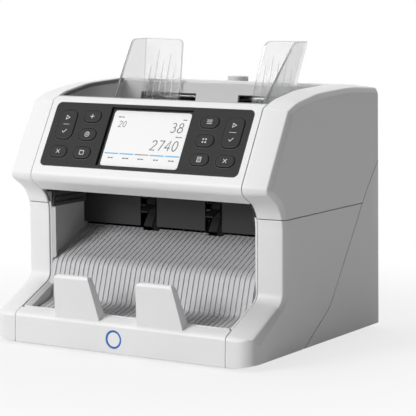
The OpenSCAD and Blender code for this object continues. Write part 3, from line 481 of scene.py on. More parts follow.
# Places across a cover where its shell and its core get a ring
MIDDLE_X = [105, 109, CORNER_X]
SHELL_X = [COVER_X + d for d in (0, 0.12, 0.35, LIP_W)] + MIDDLE_X
SHELL_X += [CORNER_X + CORNER_R * math.sin(math.radians(a)) for a in (12, 22, 32, 42)]
SHELL_X += [FACE_X + d for d in (-BLEND, -0.2, 0.2, BLEND)]
SHELL_X += [HALF - d for d in (1.4, 0.7, SIDE_ROUND_W, 0.16, 0.04, 0)]
CORE_X = [COVER_X - 1] + MIDDLE_X + [114.7, 116.9, 118.9, 120.7, HALF - 3]


def quarter(u, depth):
    """A quarter round: 0 up to u = 0, depth from u = 1."""
    return depth * (1 - math.sqrt(max(0.0, 1 - max(0.0, u) ** 2)))


def crown(x):
    """How far the faces curve back between the inner edge and the bevel."""
    t = max(0.0, min(1.0, (x - COVER_X) / (FACE_X - COVER_X)))
    return CROWN * (CROWN_LINEAR * t + (1 - CROWN_LINEAR) * t * t)


def loss(x):
    """How far the front, top and back faces fall back at x."""
    start, end = FACE_X - BLEND, FACE_X + BLEND
    if x <= start:
        return crown(x) + quarter((COVER_X + LIP_W - x) / LIP_W, LIP_D)
    steep = BEVEL_D / BEVEL_W
    run = min(x, end) - start
    fall = crown(start) + CROWN_END * run + (steep - CROWN_END) * run * run / (4 * BLEND)
    return fall + steep * max(0.0, x - end)


def plan_front(x):
    """The front corner seen from above."""
    if x <= CORNER_X:
        return AHEAD
    return CORNER_Y - math.sqrt(max(0.0, CORNER_R ** 2 - (x - CORNER_X) ** 2))


def under(x):
    """The lower edge, which rises outwards."""
    return -SKIRT + SKIRT * max(0.0, x - UNDER_X) / (HALF - UNDER_X)


def cross(p, q, a, b):
    """Where the line a-b crosses the run p-q: shares of the way along both, or None."""
    dx, dy = q[0] - p[0], q[1] - p[1]
    ex, ey = b[0] - a[0], b[1] - a[1]
    den = dx * ey - dy * ex
    if abs(den) < PARALLEL:
        return None
    t = ((a[0] - p[0]) * ey - (a[1] - p[1]) * ex) / den
    u = ((a[0] - p[0]) * dy - (a[1] - p[1]) * dx) / den
    return (t, u) if all(-SLACK <= share <= 1 + SLACK for share in (t, u)) else None


def first_cross(ring, line, low, high):
    """The first crossing of a ring with a line: index on the ring, point, index on the line."""
    m = len(ring)
    for i in range(low, high):
        p, q = ring[i % m], ring[(i + 1) % m]
        for j in range(len(line) - 1):
            c = cross(p, q, line[j], line[j + 1])
            if c:
                t, u = c
                return i + t, (p[0] + (q[0] - p[0]) * t, p[1] + (q[1] - p[1]) * t), j + u
    raise ValueError("no crossing")


def seam_line(offset):
    """The diagonal rear seam, moved backwards by offset, from its top to its foot."""
    p = inset(REAR + [REAR_CLOSE], -offset)[:len(REAR)]
    middle = [q for k in range(1, len(p) - 1) for q in corner(p[k - 1], p[k], p[k + 1], SEAM_STEPS)]
    return [p[0][:2]] + middle + [p[-1][:2]]


def eased(p, q, r, size):
    """Three points that round the corner q between p and r."""
    a, b = unit((p[0] - q[0], p[1] - q[1])), unit((r[0] - q[0], r[1] - q[1]))
    one = (q[0] + a[0] * size, q[1] + a[1] * size)
    two = (q[0] + b[0] * size, q[1] + b[1] * size)
    mid = [(one[i] + two[i]) / 2 * (1 - EASE_PULL) + q[i] * EASE_PULL for i in (0, 1)]
    return [one, mid, two]


def arc_start(k):
    """Index of the first point of the arc at side corner k."""
    return k * (ARC_STEPS + 1)


def arc_end(k):
    """Index of the last point of the arc at side corner k."""
    return arc_start(k) + ARC_STEPS


def seam_cuts(upper, x, deep, more):
    """How the seams cut the whole side at x.

    Returns the side's ring, the rear seam, the cover's corners (in front, behind, and where its seams
    meet), the front corner's index on the ring, and the rear seam's indices where it begins and ends.
    """
    fall = loss(x) + quarter((x - HALF + SIDE_ROUND_W) / SIDE_ROUND_W, SIDE_ROUND_D) + deep
    ring = rounded(inset(SIDE, [deep] + [fall] * (len(SIDE) - 2) + [deep]), ARC_STEPS)
    gap = SEAM_HALF - more
    if not deep:
        gap += quarter((x - HALF + SEAM_ROUND) / SEAM_ROUND, SEAM_ROUND)
    line = seam_line(-gap)
    if upper:
        level = [(AHEAD, SEAM_Z + gap), (BEHIND, SEAM_Z + gap)]
        front, a, _ = first_cross(ring, level, arc_start(THROAT), arc_end(NOSE))
        _, b, seam_from = first_cross(ring, line, arc_end(BACK_TOP) - 1, arc_start(BACK_FOOT) + 1)
        seam_to, c, _ = first_cross(line, level, 0, len(line) - 1)
    else:
        level = [(BEHIND, SEAM_Z - gap), (AHEAD, SEAM_Z - gap)]
        foot = [(AHEAD, -SKIRT + deep), (BEHIND, -SKIRT + deep)]
        front, a, _ = first_cross(ring, level, arc_end(POCKET_FLOOR), arc_start(NOSE))
        seam_from, c, _ = first_cross(line, level, 0, len(line) - 1)
        seam_to, b, _ = first_cross(line, foot, 0, len(line) - 1)
    return ring, line, (a, b, c), front, seam_from, seam_to


def cover_rings(kind, xs, deep=0.0, more=0.0):
    """Rings of a side cover. deep moves the outer faces inwards, more moves the seam faces outwards."""
    upper = kind == "upper"
    cuts = [seam_cuts(upper, x, deep, more) for x in xs]
    # every ring takes the same points of the outline and of the seam
    fronts, seam_starts, seam_ends = zip(*(c[3:] for c in cuts))
    if upper:
        first, last = math.ceil(max(fronts) + RUN_CLEAR), arc_end(BACK_TOP)
    else:
        first, last = 0, math.floor(min(fronts) - RUN_CLEAR)
    seam_first = math.ceil(max(seam_starts) + SEAM_CLEAR)
    seam_last = math.floor(min(seam_ends) - SEAM_CLEAR)
    size = CORE_EASE if deep else SHELL_EASE
    rings = []
    for x, (ring, line, (a, b, c), *_) in zip(xs, cuts):
        run = ring[first:last + 1]
        seam = line[seam_first:seam_last + 1]
        if upper:
            points = eased(c, a, run[0], size) + run + eased(run[-1], b, seam[0], size)
            points += seam + eased(seam[-1], c, a, size)
        else:
            points = run + eased(run[-1], a, c, size) + eased(a, c, seam[0], size)
            points += seam + eased(seam[-1], b, run[0], size)
            front, foot = plan_front(x) + deep, under(x) + deep
            points = [(max(y, front) if z < BASE_TOP else y, max(z, foot)) for y, z in points]
        rings.append([at(x, y, z) for y, z in points])
    return rings


def side_cover(kind):
    """The right cover of a kind: its outer form less its core."""
    shell = raw(f"right_{kind}_cover_skin", loft(cover_rings(kind, SHELL_X)))
    core = raw(f"right_{kind}_cover_core", loft(cover_rings(kind, CORE_X, deep=WALL, more=1.0)))
    return cut(shell, core)


for kind in ("upper", "lower"):
    right = side_cover(kind)
    left = mirrored(right, f"left_{kind}_cover_skin")
    for side, cover in (("right", right), ("left", left)):
        dress(cover, WHITE, "frame", f"{side}_{kind}_cover", smooth=28)
        even_normals(cover, True)

# Finishes of the CAD nodes that stay: material and bevel
PLAIN = {
    "base_tray": (WHITE_DEEP, 0.5), "front_bezel": (WHITE, 0.7), "head_cover": (WHITE, 0.5),
    "rear_housing": (WHITE, 0.4), "rear_door": (WHITE, 0.5), "top_deck": (WHITE, 0.5),
    "hopper_tray": (LIGHT_GREY, 0.5), "left_hopper_strip": (DARK_STRIP, 0.2),
    "right_hopper_strip": (DARK_STRIP, 0.2), "gap_knob": (GREY, 0.5), "control_panel": (PANEL, 0.25),
    "display_screen": (SCREEN_BLACK, 0.2), "keypad_board": (BOARD, 0.1), "main_board": (BOARD, 0.15),
    "separator_beam": (BLACK, 0.4), "sensor_beam": (BLACK, 0.4), "power_inlet": (BLACK, 0.3),
    "power_rocker": (RED, 0.4), "power_supply": (SUPPLY, 0.4), "data_ports": (PORT, 0.2),
    "drive_motor": (MOTOR, 0.5), "motor_pulley": (STEEL, 0.2), "drive_belts": (RUBBER, 0),
    "guide_rail": (STEEL, 0.3), "pickup_shaft": (STEEL, 0.3), "drum_shaft": (STEEL, 0.3),
    "stacker_shaft": (STEEL, 0.3), "tie_bars": (STEEL, 0.3), "shaft_bearings": (STEEL, 0.3),
    "left_side_plate": (PLATE, 0.2), "right_side_plate": (PLATE, 0.2), "pickup_wheels": (RUBBER, 0.5),
    "feed_drum": (RUBBER, 0.5), "stacker_wheels": (RUBBER, 0.2), "rubber_feet": (RUBBER, 0.4),
}

# The top line of the stacker plate as [depth, height, radius]
RUN = [(23.6, 23, 0), (41.8, 28.15, 6), (51.8, 61.2, 14), (101, 84, 0)]
RUN_STEPS = 8
RUN_LINE = [RUN[0][:2]] + corner(*RUN[:3], RUN_STEPS) + corner(*RUN[1:], RUN_STEPS) + [RUN[3][:2]]
RUN_GROOVE = 0.45  # faces further than this from the line are in a groove
RUN_FACING = 0.1  # a normal that leans up or forward by more than this is on the plate's upper side
HOOD_X = 94  # the hood's cheeks stand outside this and end at this height
HOOD_Z = 118
RIM_FACING = 0.15  # a normal that leans forward by this, and less to a side, is on a liner's rim
RIM_SIDEWAYS = 0.5


def finish(name, materials, bevel=0, flat=False, choose=None):
    """Gives a CAD node its materials and bevel; choose(x, y, z, normal) numbers each face's material."""
    obj = nodes[name]
    set_materials(obj, materials)
    if choose:
        turn = obj.matrix_world.to_3x3()
        for p in obj.data.polygons:
            c = 1000 * (obj.matrix_world @ p.center)
            p.material_index = choose(c.x, c.y - DATUM_Y, c.z - DATUM_Z, turn @ p.normal)
    if bevel:
        edge(obj, bevel, flat)


def run_distance(y, z):
    """Distance of a point from the top line of the stacker plate."""
    best = math.inf
    for a, b in zip(RUN_LINE, RUN_LINE[1:]):
        dy, dz = b[0] - a[0], b[1] - a[1]
        t = max(0, min(1, ((y - a[0]) * dy + (z - a[1]) * dz) / (dy * dy + dz * dz)))
        best = min(best, math.hypot(y - a[0] - t * dy, z - a[1] - t * dz))
    return best


def painted_light_groove(_x, y, z, n):
    """1 for a groove face of the stacker plate, which gets a lighter grey: painted light against its shade.
    """
    return int((n.z > RUN_FACING or n.y < -RUN_FACING) and run_distance(y, z) > RUN_GROOVE)


def on_cheek(x, _y, z, n):
    """1 for a face of the hood's cheeks that looks into the pocket."""
    return int(abs(x) > HOOD_X and n.x * x < 0 and z < HOOD_Z)


def on_rim(low):
    """Numbers a liner's faces: on its rim low below the seam's height and 2 above it, elsewhere 0."""
    def choose(_x, _y, z, n):
        if n.y > -RIM_FACING or abs(n.x) > RIM_SIDEWAYS:
            return 0
        return low if z < SEAM_Z else 2
    return choose


bpy.context.view_layer.update()
for name, (plain, bevel) in PLAIN.items():
    finish(name, plain, bevel, flat=name == "top_deck")
finish("stacker_plate", [GREY, GREY_PAINTED_LIGHT], choose=painted_light_groove)
smooth_run(nodes["stacker_plate"])
finish("pocket_hood", [BLACK, CHEEK], 0.3, choose=on_cheek)
# the mirrored liners' rims differ as painted light and shade: the left rim takes the liner grey, the right
# rim the white
for side, low in (("left", 0), ("right", 1)):
    finish(f"{side}_pocket_liner", [LINER, WHITE, BLACK], 0.4, True, on_rim(low))

# Display; a place on the panel is [x, s], with s measured down the slope
FACE_H = -2.05  # height of the display's face
FACE_BACK = -2.35
FACE_SIZE = (74, 49.4)
FACE_R = 2.5
FACE_S = 31.3  # its middle
INK = (FACE_H - 0.02, FACE_H + 0.04)
DIGIT_STEP = 0.76  # as shares of a digit's height
DIGIT_SLANT = 0.13
NUMBERS = [  # text, right end, foot, height, stroke
    ("20", -22.4, 21.3, 5.3, 0.5), ("38", 33.4, 24.0, 8.5, 0.75), ("2740", 33.0, 40.3, 8.8, 0.8),
]
LABELS = [  # left end, right end, s
    (-32.4, -29.4, 12.4), (-28.8, -26.6, 12.4), (30.2, 33.8, 12.6), (27.6, 30.4, 28.0), (31.0, 33.4, 28.0),
]
LABEL_STROKE = 0.8
COLUMN = 14.6  # the columns at the display's foot
COLUMN_X = -28.9
COLUMN_S = 48.8
COLUMN_STROKE = 0.9
COLUMN_GAP = 0.3
COLUMN_HALVES = (2.4, 3.0, 2.7, 2.3, 2.6)
BAR_X = -35.7  # the bars over the columns; the third one is grey
BAR_GREY_X = -6.4
BAR_W = 13.4
BAR_S = 44.9
BAR_STROKE = 1.0
BLUE_BARS = (0, 1, 3, 4)


def digit(d):
    """Strokes of a plain digit in a box 0.56 wide and 1 high, as (points, closed)."""
    return {
        "0": [(arc(0.28, 0.5, 0.25, 0.48, 0, 345, 23), True)],
        "2": [(arc(0.27, 0.72, 0.24, 0.25, 165, -35, 12) + [(0.02, 0.02), (0.54, 0.02)], False)],
        "3": [(arc(0.24, 0.75, 0.23, 0.22, 140, -90, 12) + arc(0.24, 0.27, 0.27, 0.26, 90, -140, 12), False)],
        "4": [([(0.42, 0.0), (0.42, 0.98), (0.02, 0.3), (0.56, 0.3)], False)],
        "7": [([(0.03, 0.97), (0.53, 0.97), (0.2, 0.0)], False)],
        "8": [(arc(0.28, 0.75, 0.2, 0.22, 0, 345, 19), True),
              (arc(0.28, 0.27, 0.26, 0.26, 0, 345, 21), True)],
    }[d]


def on_panel(x0, s0):
    """Puts x to the right and y up the slope, from a point of the panel."""
    return lambda x, y, h: slope(x0 + x, s0 - y, h)


def number(text, right, s_low, height, width):
    """Strokes of a slanted number that ends at right and stands on s_low."""
    shapes = []
    for i, d in enumerate(text):
        x0 = right - (len(text) - i) * height * DIGIT_STEP
        for points, closed in digit(d):
            line = [(x0 + (x + DIGIT_SLANT * y) * height, y * height) for x, y in points]
            shapes.append(ribbon(line, width, on_panel(0, s_low), *INK, closed))
    return shapes


def dash(x0, x1, s, width):
    """A level stroke from x0 to x1."""
    return ribbon([(x0, 0), (x1, 0)], width, on_panel(0, s), *INK)


face = rounded(box_corners(*FACE_SIZE, FACE_R, 0, -FACE_S))
make("display_face", plate_of(face, on_panel(0, 0), FACE_BACK, FACE_H), SCREEN, "frame")
make("display_digits", joined([s for n in NUMBERS for s in number(*n)]), DIGIT, "frame")
labels = [dash(x0, x1, s, LABEL_STROKE) for x0, x1, s in LABELS]
for i, half in enumerate(COLUMN_HALVES):
    mid = COLUMN_X + COLUMN * i
    for x0, x1 in ((mid - half, mid - COLUMN_GAP), (mid + COLUMN_GAP, mid + half)):
        labels.append(dash(x0, x1, COLUMN_S, COLUMN_STROKE))
make("display_labels", joined(labels), DIGIT, "frame")
bars = [dash(BAR_X + COLUMN * i, BAR_X + BAR_W + COLUMN * i, BAR_S, BAR_STROKE) for i in BLUE_BARS]
make("display_bars", joined(bars), BAR_BLUE, "frame")
make("display_bar_grey", dash(BAR_GREY_X, BAR_GREY_X + BAR_W, BAR_S, BAR_STROKE), BAR_GREY, "frame")

# Keys; a section is [growth outwards, height over the panel]
KEY_W = 17.2
KEY_H = 10.6
ROW_PITCH = 16.4
ROWS = [14.1 + ROW_PITCH * i for i in range(3)]
OUTER_X = 80.2
INNER_X = 56.5
KEYS = [  # word, x, s, height, radius
    ("start", OUTER_X, (ROWS[0] + ROWS[1]) / 2, KEY_H + ROW_PITCH, 6.0),
    ("low", OUTER_X, ROWS[2], KEY_H, KEY_H / 2), ("top", INNER_X, ROWS[0], KEY_H, KEY_H / 2),
    ("middle", INNER_X, ROWS[1], KEY_H, KEY_H / 2), ("bottom", INNER_X, ROWS[2], KEY_H, KEY_H / 2),
]
KEY_SECTION = [(1.0, -4.4), (1.0, -3.5), (0, -3.5), (0, -0.05), (-0.1, 0.22), (-0.32, 0.4), (-0.7, 0.48),
               (-1.3, 0.5), (-2.6, 0.46), (-4.2, 0.43)]
KEY_STEPS = 7
WELL_R = 3.5  # the hollow under a cap
WELL = (-6, -3.05)
WELL_STEPS = 24
KEY_GROOVE = [(1.02, -0.6), (1.02, -0.2), (0.94, -0.15), (0.56, -0.15), (0.44, -0.3), (0.44, -0.9)]
PANEL_RIM = [(0.27, -1.6), (0.27, -0.3), (0.2, -0.14), (-0.35, -0.14), (-0.5, -0.3), (-0.5, -0.6),
             (0.0, -1.6)]
PANEL_BOX = (0, 31.1, 190, 57.8, 4.5)  # x, s, width, height, radius
LEGEND_LOW, LEGEND_TOP = 0.4, 0.53
THIN, THICK = 0.3, 0.5
MARK_UP = 6.2  # the upper and lower mark of a tall key stand this far from its middle
MARKS = {  # strokes of a mark, as (points, closed)
    "triangle": [([(-1.5, -1.7), (-1.5, 1.7), (1.7, 0)], True)],
    "bar": [([(-3.2, 0), (3.2, 0)], False)],
    "tick": [([(-2.0, 0.1), (-0.6, -1.4), (2.1, 1.5)], False)],
    "plus": [([(-2.0, 0), (2.0, 0)], False), ([(0, -2.0), (0, 2.0)], False)],
    "ring": [(arc(0, 0, 2.0, 2.0, 0, 345, 23), True), (arc(0, 0, 0.45, 0.45, 0, 330, 11), True)],
    "cross": [([(-1.6, -1.6), (1.6, 1.6)], False), ([(-1.6, 1.6), (1.6, -1.6)], False)],
    "square": [([(-1.9, -1.7), (-1.9, 1.7), (1.9, 1.7), (1.9, -1.7)], True)],
    "lines": [([(-2.4, y), (2.4, y)], False) for y in (-1.5, 0, 1.5)],
    "dots": [(arc(x, y, 0.5, 0.5, 0, 330, 11), True) for x in (-1.3, 1.3) for y in (-1.3, 1.3)],
    "sheet": [([(-1.6, -2.0), (-1.6, 2.0), (1.6, 2.0), (1.6, -2.0)], True)]
    + [([(-0.8, y), (0.8, y)], False) for y in (0.7, -0.6)],
}
TALL = [("triangle", MARK_UP), ("bar", 0), ("tick", -MARK_UP)]
LEGENDS = {  # marks of a key and their height over its middle
    "left_start": TALL, "left_low": [("cross", 0)], "left_top": [("plus", 0)],
    "left_middle": [("ring", 0)], "left_bottom": [("square", 0)],
    "right_start": TALL, "right_low": [("cross", 0)], "right_top": [("lines", 0)],
    "right_middle": [("dots", 0)], "right_bottom": [("sheet", 0)],
}


def panel_ring(x, s, w, h, r, grow, height):
    """A rounded rectangle on the panel, grown on all sides."""
    outline = rounded(box_corners(w + 2 * grow, h + 2 * grow, r + grow), KEY_STEPS)
    return [slope(x + i, s - j, height) for i, j in outline]


def key_cap(node, x, s, h, r):
    """A key's cap with its flange and the hollow under it."""
    cap = raw(node + "_cap", loft([panel_ring(x, s, KEY_W, h, r, *step) for step in KEY_SECTION]))
    well = [[slope(x + a, s + b, t) for a, b in circle(WELL_R, WELL_STEPS)] for t in WELL]
    cut(cap, raw(node + "_well", loft(well)))
    dress(cap, KEY, node, node, smooth=50)


def groove_ring(x, s, w, h, r, section):
    """A closed ring round a rounded rectangle."""
    rings = [panel_ring(x, s, w, h, r, *step) for step in section]
    return loft(rings + rings[:1], ends=False)


def legend(name, x, s):
    """The strokes of a key's marks."""
    shapes = []
    for mark, up in LEGENDS[name]:
        for points, closed in MARKS[mark]:
            width = THIN if mark == "bar" else THICK
            shapes.append(ribbon(points, width, on_panel(x, s - up), LEGEND_LOW, LEGEND_TOP, closed))
    return joined(shapes)


grooves = []
for side, sign in (("left", -1), ("right", 1)):
    for word, x, s, h, r in KEYS:
        node = f"key_{side}_{word}"
        key_cap(node, sign * x, s, h, r)
        grooves.append(groove_ring(sign * x, s, KEY_W, h, r, KEY_GROOVE))
        make(node + "_legend", legend(f"{side}_{word}", sign * x, s), LEGEND, node)
# the rings round the keys and round the panel take the near-black colour as painted shade
make("panel_key_grooves", joined(grooves), GROOVE, "frame")
make("panel_rim", groove_ring(*PANEL_BOX, PANEL_RIM), GROOVE, "frame")

# Badge; its section is [radius, height]
BADGE_X, BADGE_Y, BADGE_Z = -3, 1.3, 8.3
BADGE_SECTION = [(7.5, 0.0), (7.5, 0.62), (7.3, 0.78), (5.95, 0.78), (5.8, 0.66), (5.8, 0.55), (0.5, 0.55)]
BADGE_BLUE = 4  # the bands of the section that are blue, from its foot
BADGE_STEPS = 48


def badge_ring():
    """A blue ring round a white disc."""
    rings = [[at(BADGE_X + x, BADGE_Y - h, BADGE_Z + z) for x, z in circle(r, BADGE_STEPS)]
             for r, h in BADGE_SECTION]
    obj = make("badge_ring", loft(rings), [BADGE, BADGE_WHITE], "frame", "badge_disc")
    for i, p in enumerate(obj.data.polygons):
        p.material_index = int(i >= BADGE_BLUE * BADGE_STEPS)
    # the last two faces close the foot and the middle
    obj.data.polygons[-2].material_index = 0


badge_ring()

# Rear: screws, marks of the rocker switch, black blocks behind the slots as painted shade
SCREW_X = 113
SCREW_Y = (22, 138)
SCREW_SECTION = [(1.6, -9), (1.6, -1.6), (3.0, -1.6), (3.0, -0.55), (2.75, -0.3), (1.2, -0.2)]
SCREW_STEPS = 32
SLOT_LONG, SLOT_WIDE = 1.9, 0.32  # halves
SLOT_DEEP = 1.1
ROCKER_X, ROCKER_Y, ROCKER_H = 82, 54.5, 1.4
ROCKER_FALL = 5.6  # the rocker's halves rise 1 in this many from its middle
ROCKER_MARKS = [  # points, width, closed
    (arc(0, 3.1, 1.5, 1.35, 0, 345, 23), 0.45, True),
    ([(0, -4.5), (0, -2.0)], 0.55, False),
]
MARK_LOW, MARK_TOP = -0.2, 0.07
VENT_SHADE_BLOCKS = [  # x, y, half width, half height, inner and outer side
    (0, 137.4, 50, 12.4, -4.3, -3.4), (0, 151.2, 96, 3.2, -4.6, -3.5),
]


def slotted_screw(x, y):
    """A screw in the back face."""
    return loft([[back(x + i, y + j, h) for i, j in circle(r, SCREW_STEPS)] for r, h in SCREW_SECTION])


def block_on_back(x, y, w, h, low, high):
    """A block in the back face, 2 w wide and 2 h high."""
    corners = ((-w, -h), (w, -h), (w, h), (-w, h))
    return loft([[back(x + a, y + b, t) for a, b in corners] for t in (low, high)])


def on_rocker(x, y, h):
    """A point on the rocker: x to the right, y up from its middle, h out of it."""
    return back(ROCKER_X + x, ROCKER_Y + y, ROCKER_H + abs(y) / ROCKER_FALL + h)


places = [(x, y) for x in (-SCREW_X, SCREW_X) for y in SCREW_Y]
screws = raw("housing_screws_slotted", joined([slotted_screw(*p) for p in places]))
for p in places:
    for size in ((SLOT_LONG, SLOT_WIDE), (SLOT_WIDE, SLOT_LONG)):
        cut(screws, raw("slot", block_on_back(*p, *size, -SLOT_DEEP, 1)))
dress(screws, STEEL, "frame", "housing_screws", smooth=30)
marks = [ribbon(points, width, on_rocker, MARK_LOW, MARK_TOP, closed)
         for points, width, closed in ROCKER_MARKS]
make("rocker_marks", joined(marks), LEGEND, "power_rocker")
# black blocks behind the vent slots stand in for the shade inside the body: painted shade
make("rear_vent_shade", joined([block_on_back(*f) for f in VENT_SHADE_BLOCKS]), BLACK, "frame")

# Rim and cheek of the pocket's left liner, and the seat of the stacker plate's right end, as side outlines
CHEEK_RINGS = [
    (-98.7, ((12.8, 25.2), (45.6, 40.4), (46.4, 42.6), (42.2, 28.0), (23.6, 22.8))),
    (-95.2, ((15.5, 24.6), (44.6, 38.9), (45.2, 39.6), (42.2, 28.0), (23.6, 22.8))),
]
STRIP_RINGS = [
    (-98.7, ((50.4, 60.0), (49.95, 103.6), (52.6, 103.6), (52.9, 63.0))),
    (-95.6, ((51.3, 61.5), (50.9, 103.6), (52.4, 103.6), (52.7, 63.0))),
]
SEAT = ((44.0, 31.0), (51.5, 56.0), (56.0, 56.0), (50.0, 31.0))
SEAT_RINGS = [(96.9, SEAT), (98.8, SEAT)]


def across(rings):
    """A shape through side outlines, each at its own x."""
    return loft([[at(x, y, z) for y, z in ring] for x, ring in rings])


rim = joined([across(CHEEK_RINGS), across(STRIP_RINGS)])
edge(make("left_pocket_rim", rim, LINER, "frame"), 0.35)
make("right_plate_seat", across(SEAT_RINGS), LINER, "frame")

# Note guides
SHEET = 2.2
GUIDE_TOP = 242.0
GUIDE_LOW = 182.6
STAND = 81.0  # outer side of the wing at the top
REACH = 41.0  # inner side of the face at the top
GUIDE_LEAN = math.radians(16.5)  # the face leans backwards
FLARE = math.radians(7.4)  # the wing leans outwards
WING_SHEET = SHEET / math.cos(FLARE)
FACE_Y, FACE_Z = 156.3, 203  # a point on the back of the face
RAIL_Y, RAIL_Z = 171, 192
RAIL_BORE = 4.05
BORE_X = (40, 84)
BORE_STEPS = 32
CARRIAGE_X = 62
CARRIAGE_W, CARRIAGE_H, CARRIAGE_R = 11, 7, 1.5  # half width, half height, radius
TAB_W, TAB_H, TAB_R = 7, 2, 0.8
FACE_ROUND, WING_ROUND, BLOCK_ROUND = 0.75, 0.85, 0.4  # rounding of their rims
RIM_LOW = GUIDE_LOW - 6  # below this and behind the face stand the tab and the carriage
RIM_BACK = 0.5
RIM_LEAST, RIM_MOST = 0.2, 0.97  # cosines between a rim's normals and those of the sheets
RIB_TOPS = (221, 229, 224, 232, 219)
RIB_X = REACH + 4  # the first rib
RIB_PITCH = 6.2
RIB_LOW, RIB_HIGH = 0.36, 0.2  # half widths at the rib's foot and top
RIB_FOOT = -0.3
RIB_RUN = ((0, -0.1), (-6, 0.35))  # [up from the rib's upper end, how far it stands out]
RIB_END = ((196, 0.6), (192, -0.1))  # [height over the sides' lower edge, how far it stands out]


def lean_y(z):
    """Depth of the front of the face at a height."""
    return FACE_Y - SHEET / math.cos(GUIDE_LEAN) + (z - FACE_Z) * math.tan(GUIDE_LEAN)


def wing_x(z):
    """Outer side of the wing at a height."""
    return STAND - (GUIDE_TOP - z) * math.tan(FLARE)


FACE_CORNERS = [(wing_x(GUIDE_LOW), GUIDE_LOW, 1), (REACH - 5, GUIDE_LOW, 2), (REACH - 4, 206, 30),
                (REACH, GUIDE_TOP - 0.6, 5.5), (STAND, GUIDE_TOP, 1)]
WING_CORNERS = [(112, 177.4, 3), (101, 186, 5), (lean_y(GUIDE_TOP) - 20, GUIDE_TOP, 9),
                (lean_y(GUIDE_TOP) + SHEET, GUIDE_TOP, 1.5), (lean_y(GUIDE_LOW) + SHEET, GUIDE_LOW, 1)]


def pillow(corners, thick, r, place, n=6, steps=3):
    """A sheet with the given outline whose rim is rounded by r on both faces."""
    quarters = [math.pi / 2 * i / steps for i in range(steps + 1)]
    low = [(r * (1 - math.sin(a)), r * (1 - math.cos(a))) for a in quarters]
    levels = low + [(d, thick - h) for d, h in reversed(low)]
    return loft([[place(x, y, h) for x, y in rounded(inset(corners, d), n)] for d, h in levels])


def on_face(x, z, h):
    """A point h behind the front of the face."""
    return at(x, lean_y(z) + h, z)


def on_wing(y, z, h):
    """A point h outwards from the inner side of the wing."""
    return at(wing_x(z) - WING_SHEET + h, y, z)


def guide_block(half_x, y0, y1, half_z, r):
    """A rounded block of a guide, round the carriage's middle."""
    x0, x1, z0 = CARRIAGE_X - half_x, CARRIAGE_X + half_x, RAIL_Z - half_z
    corners = [(x0, y0, r), (x0, y1, r), (x1, y1, r), (x1, y0, r)]
    return pillow(corners, 2 * half_z, BLOCK_ROUND, lambda x, y, h: at(x, y, z0 + h), 3, 2)


def note_guide(name):
    """The right L-shaped clear guide with a rounded rim, its tab and carriage."""
    face = raw(name, pillow(FACE_CORNERS, SHEET, FACE_ROUND, on_face))
    wing = raw(name + "_wing", pillow(WING_CORNERS, WING_SHEET, WING_ROUND, on_wing))
    tab = raw(name + "_tab", guide_block(TAB_W, lean_y(RAIL_Z) + 1, RAIL_Y - 1, TAB_H, TAB_R))
    block = guide_block(CARRIAGE_W, RAIL_Y - CARRIAGE_H, RAIL_Y + CARRIAGE_H, CARRIAGE_H, CARRIAGE_R)
    carriage = raw(name + "_carriage", block)
    bore = [[at(x, RAIL_Y + i, RAIL_Z + j) for i, j in circle(RAIL_BORE, BORE_STEPS)] for x in BORE_X]
    cut(face, wing, tab, carriage, kind="UNION")
    return cut(face, raw(name + "_bore", loft(bore)))


def mark_rim(obj, sign):
    """The faces of the rounded rim get the second material, a darker, less clear copy of the clear plastic:
    painted shade along the edges.
    """
    face_n = Vector((0, -math.cos(GUIDE_LEAN), math.sin(GUIDE_LEAN)))
    wing_n = Vector((sign * math.cos(FLARE), 0, -math.sin(FLARE)))
    for p in obj.data.polygons:
        y, z = p.center.y * 1000 - DATUM_Y, p.center.z * 1000 - DATUM_Z
        if z > RIM_LOW and y < lean_y(z) + SHEET + RIM_BACK:
            a, b = abs(p.normal.dot(face_n)), abs(p.normal.dot(wing_n))
            p.material_index = int(RIM_LEAST < max(a, b) < RIM_MOST)


def ribs(sign):
    """The low ribs on the front of a guide's face."""
    shapes = []
    for k, top in enumerate(RIB_TOPS):
        x = sign * (RIB_X + RIB_PITCH * k)
        rings = []
        for z, t in [(top + down, t) for down, t in RIB_RUN] + list(RIB_END):
            section = ((-RIB_LOW, RIB_FOOT), (-RIB_HIGH, t), (RIB_HIGH, t), (RIB_LOW, RIB_FOOT))
            rings.append([on_face(x - w, z, -h) for w, h in section])
        shapes.append(loft(rings))
    return joined(shapes)


right = note_guide("right_note_guide_clear")
left = mirrored(right, "left_note_guide_clear")
for side, sign, guide in (("right", 1, right), ("left", -1, left)):
    dress(guide, [CLEAR, CLEAR_RIM_SHADE], f"{side}_guide", f"{side}_note_guide", smooth=40)
    even_normals(guide, True)
    mark_rim(guide, sign)
    make(f"{side}_guide_ribs", ribs(sign), CLEAR_RIB, f"{side}_guide")

# Floor, light and camera, in metres
FLOOR_SIZE = 8.0  # half its width
FLOOR_Z = -0.0001
FLOOR_GREY = 0.7
FLOOR_GLOW = 0.76  # its share of white under the object
FADE = (0.12, 0.5)  # between these distances it fades to the white of the backdrop
WORLD_LIGHT = 0.11  # strength of the backdrop for rays that don't show it
LENS = 159.7
CAMERA_PLACE = (0.8166, -1.3024, 0.3005)
CAMERA_DOWN = 7.150  # degrees
CAMERA_TURN = 31.473


def seen_rays(nt):
    """1 for rays that show the backdrop itself: direct, through clear plastic or mirrored."""
    path = nt.nodes.new("ShaderNodeLightPath")
    seen = path.outputs["Is Camera Ray"]
    for kind in ("Is Transmission Ray", "Is Glossy Ray"):
        add = nt.nodes.new("ShaderNodeMath")
        add.operation = "MAXIMUM"
        nt.links.new(seen, add.inputs[0])
        nt.links.new(path.outputs[kind], add.inputs[1])
        seen = add.outputs["Value"]
    return seen


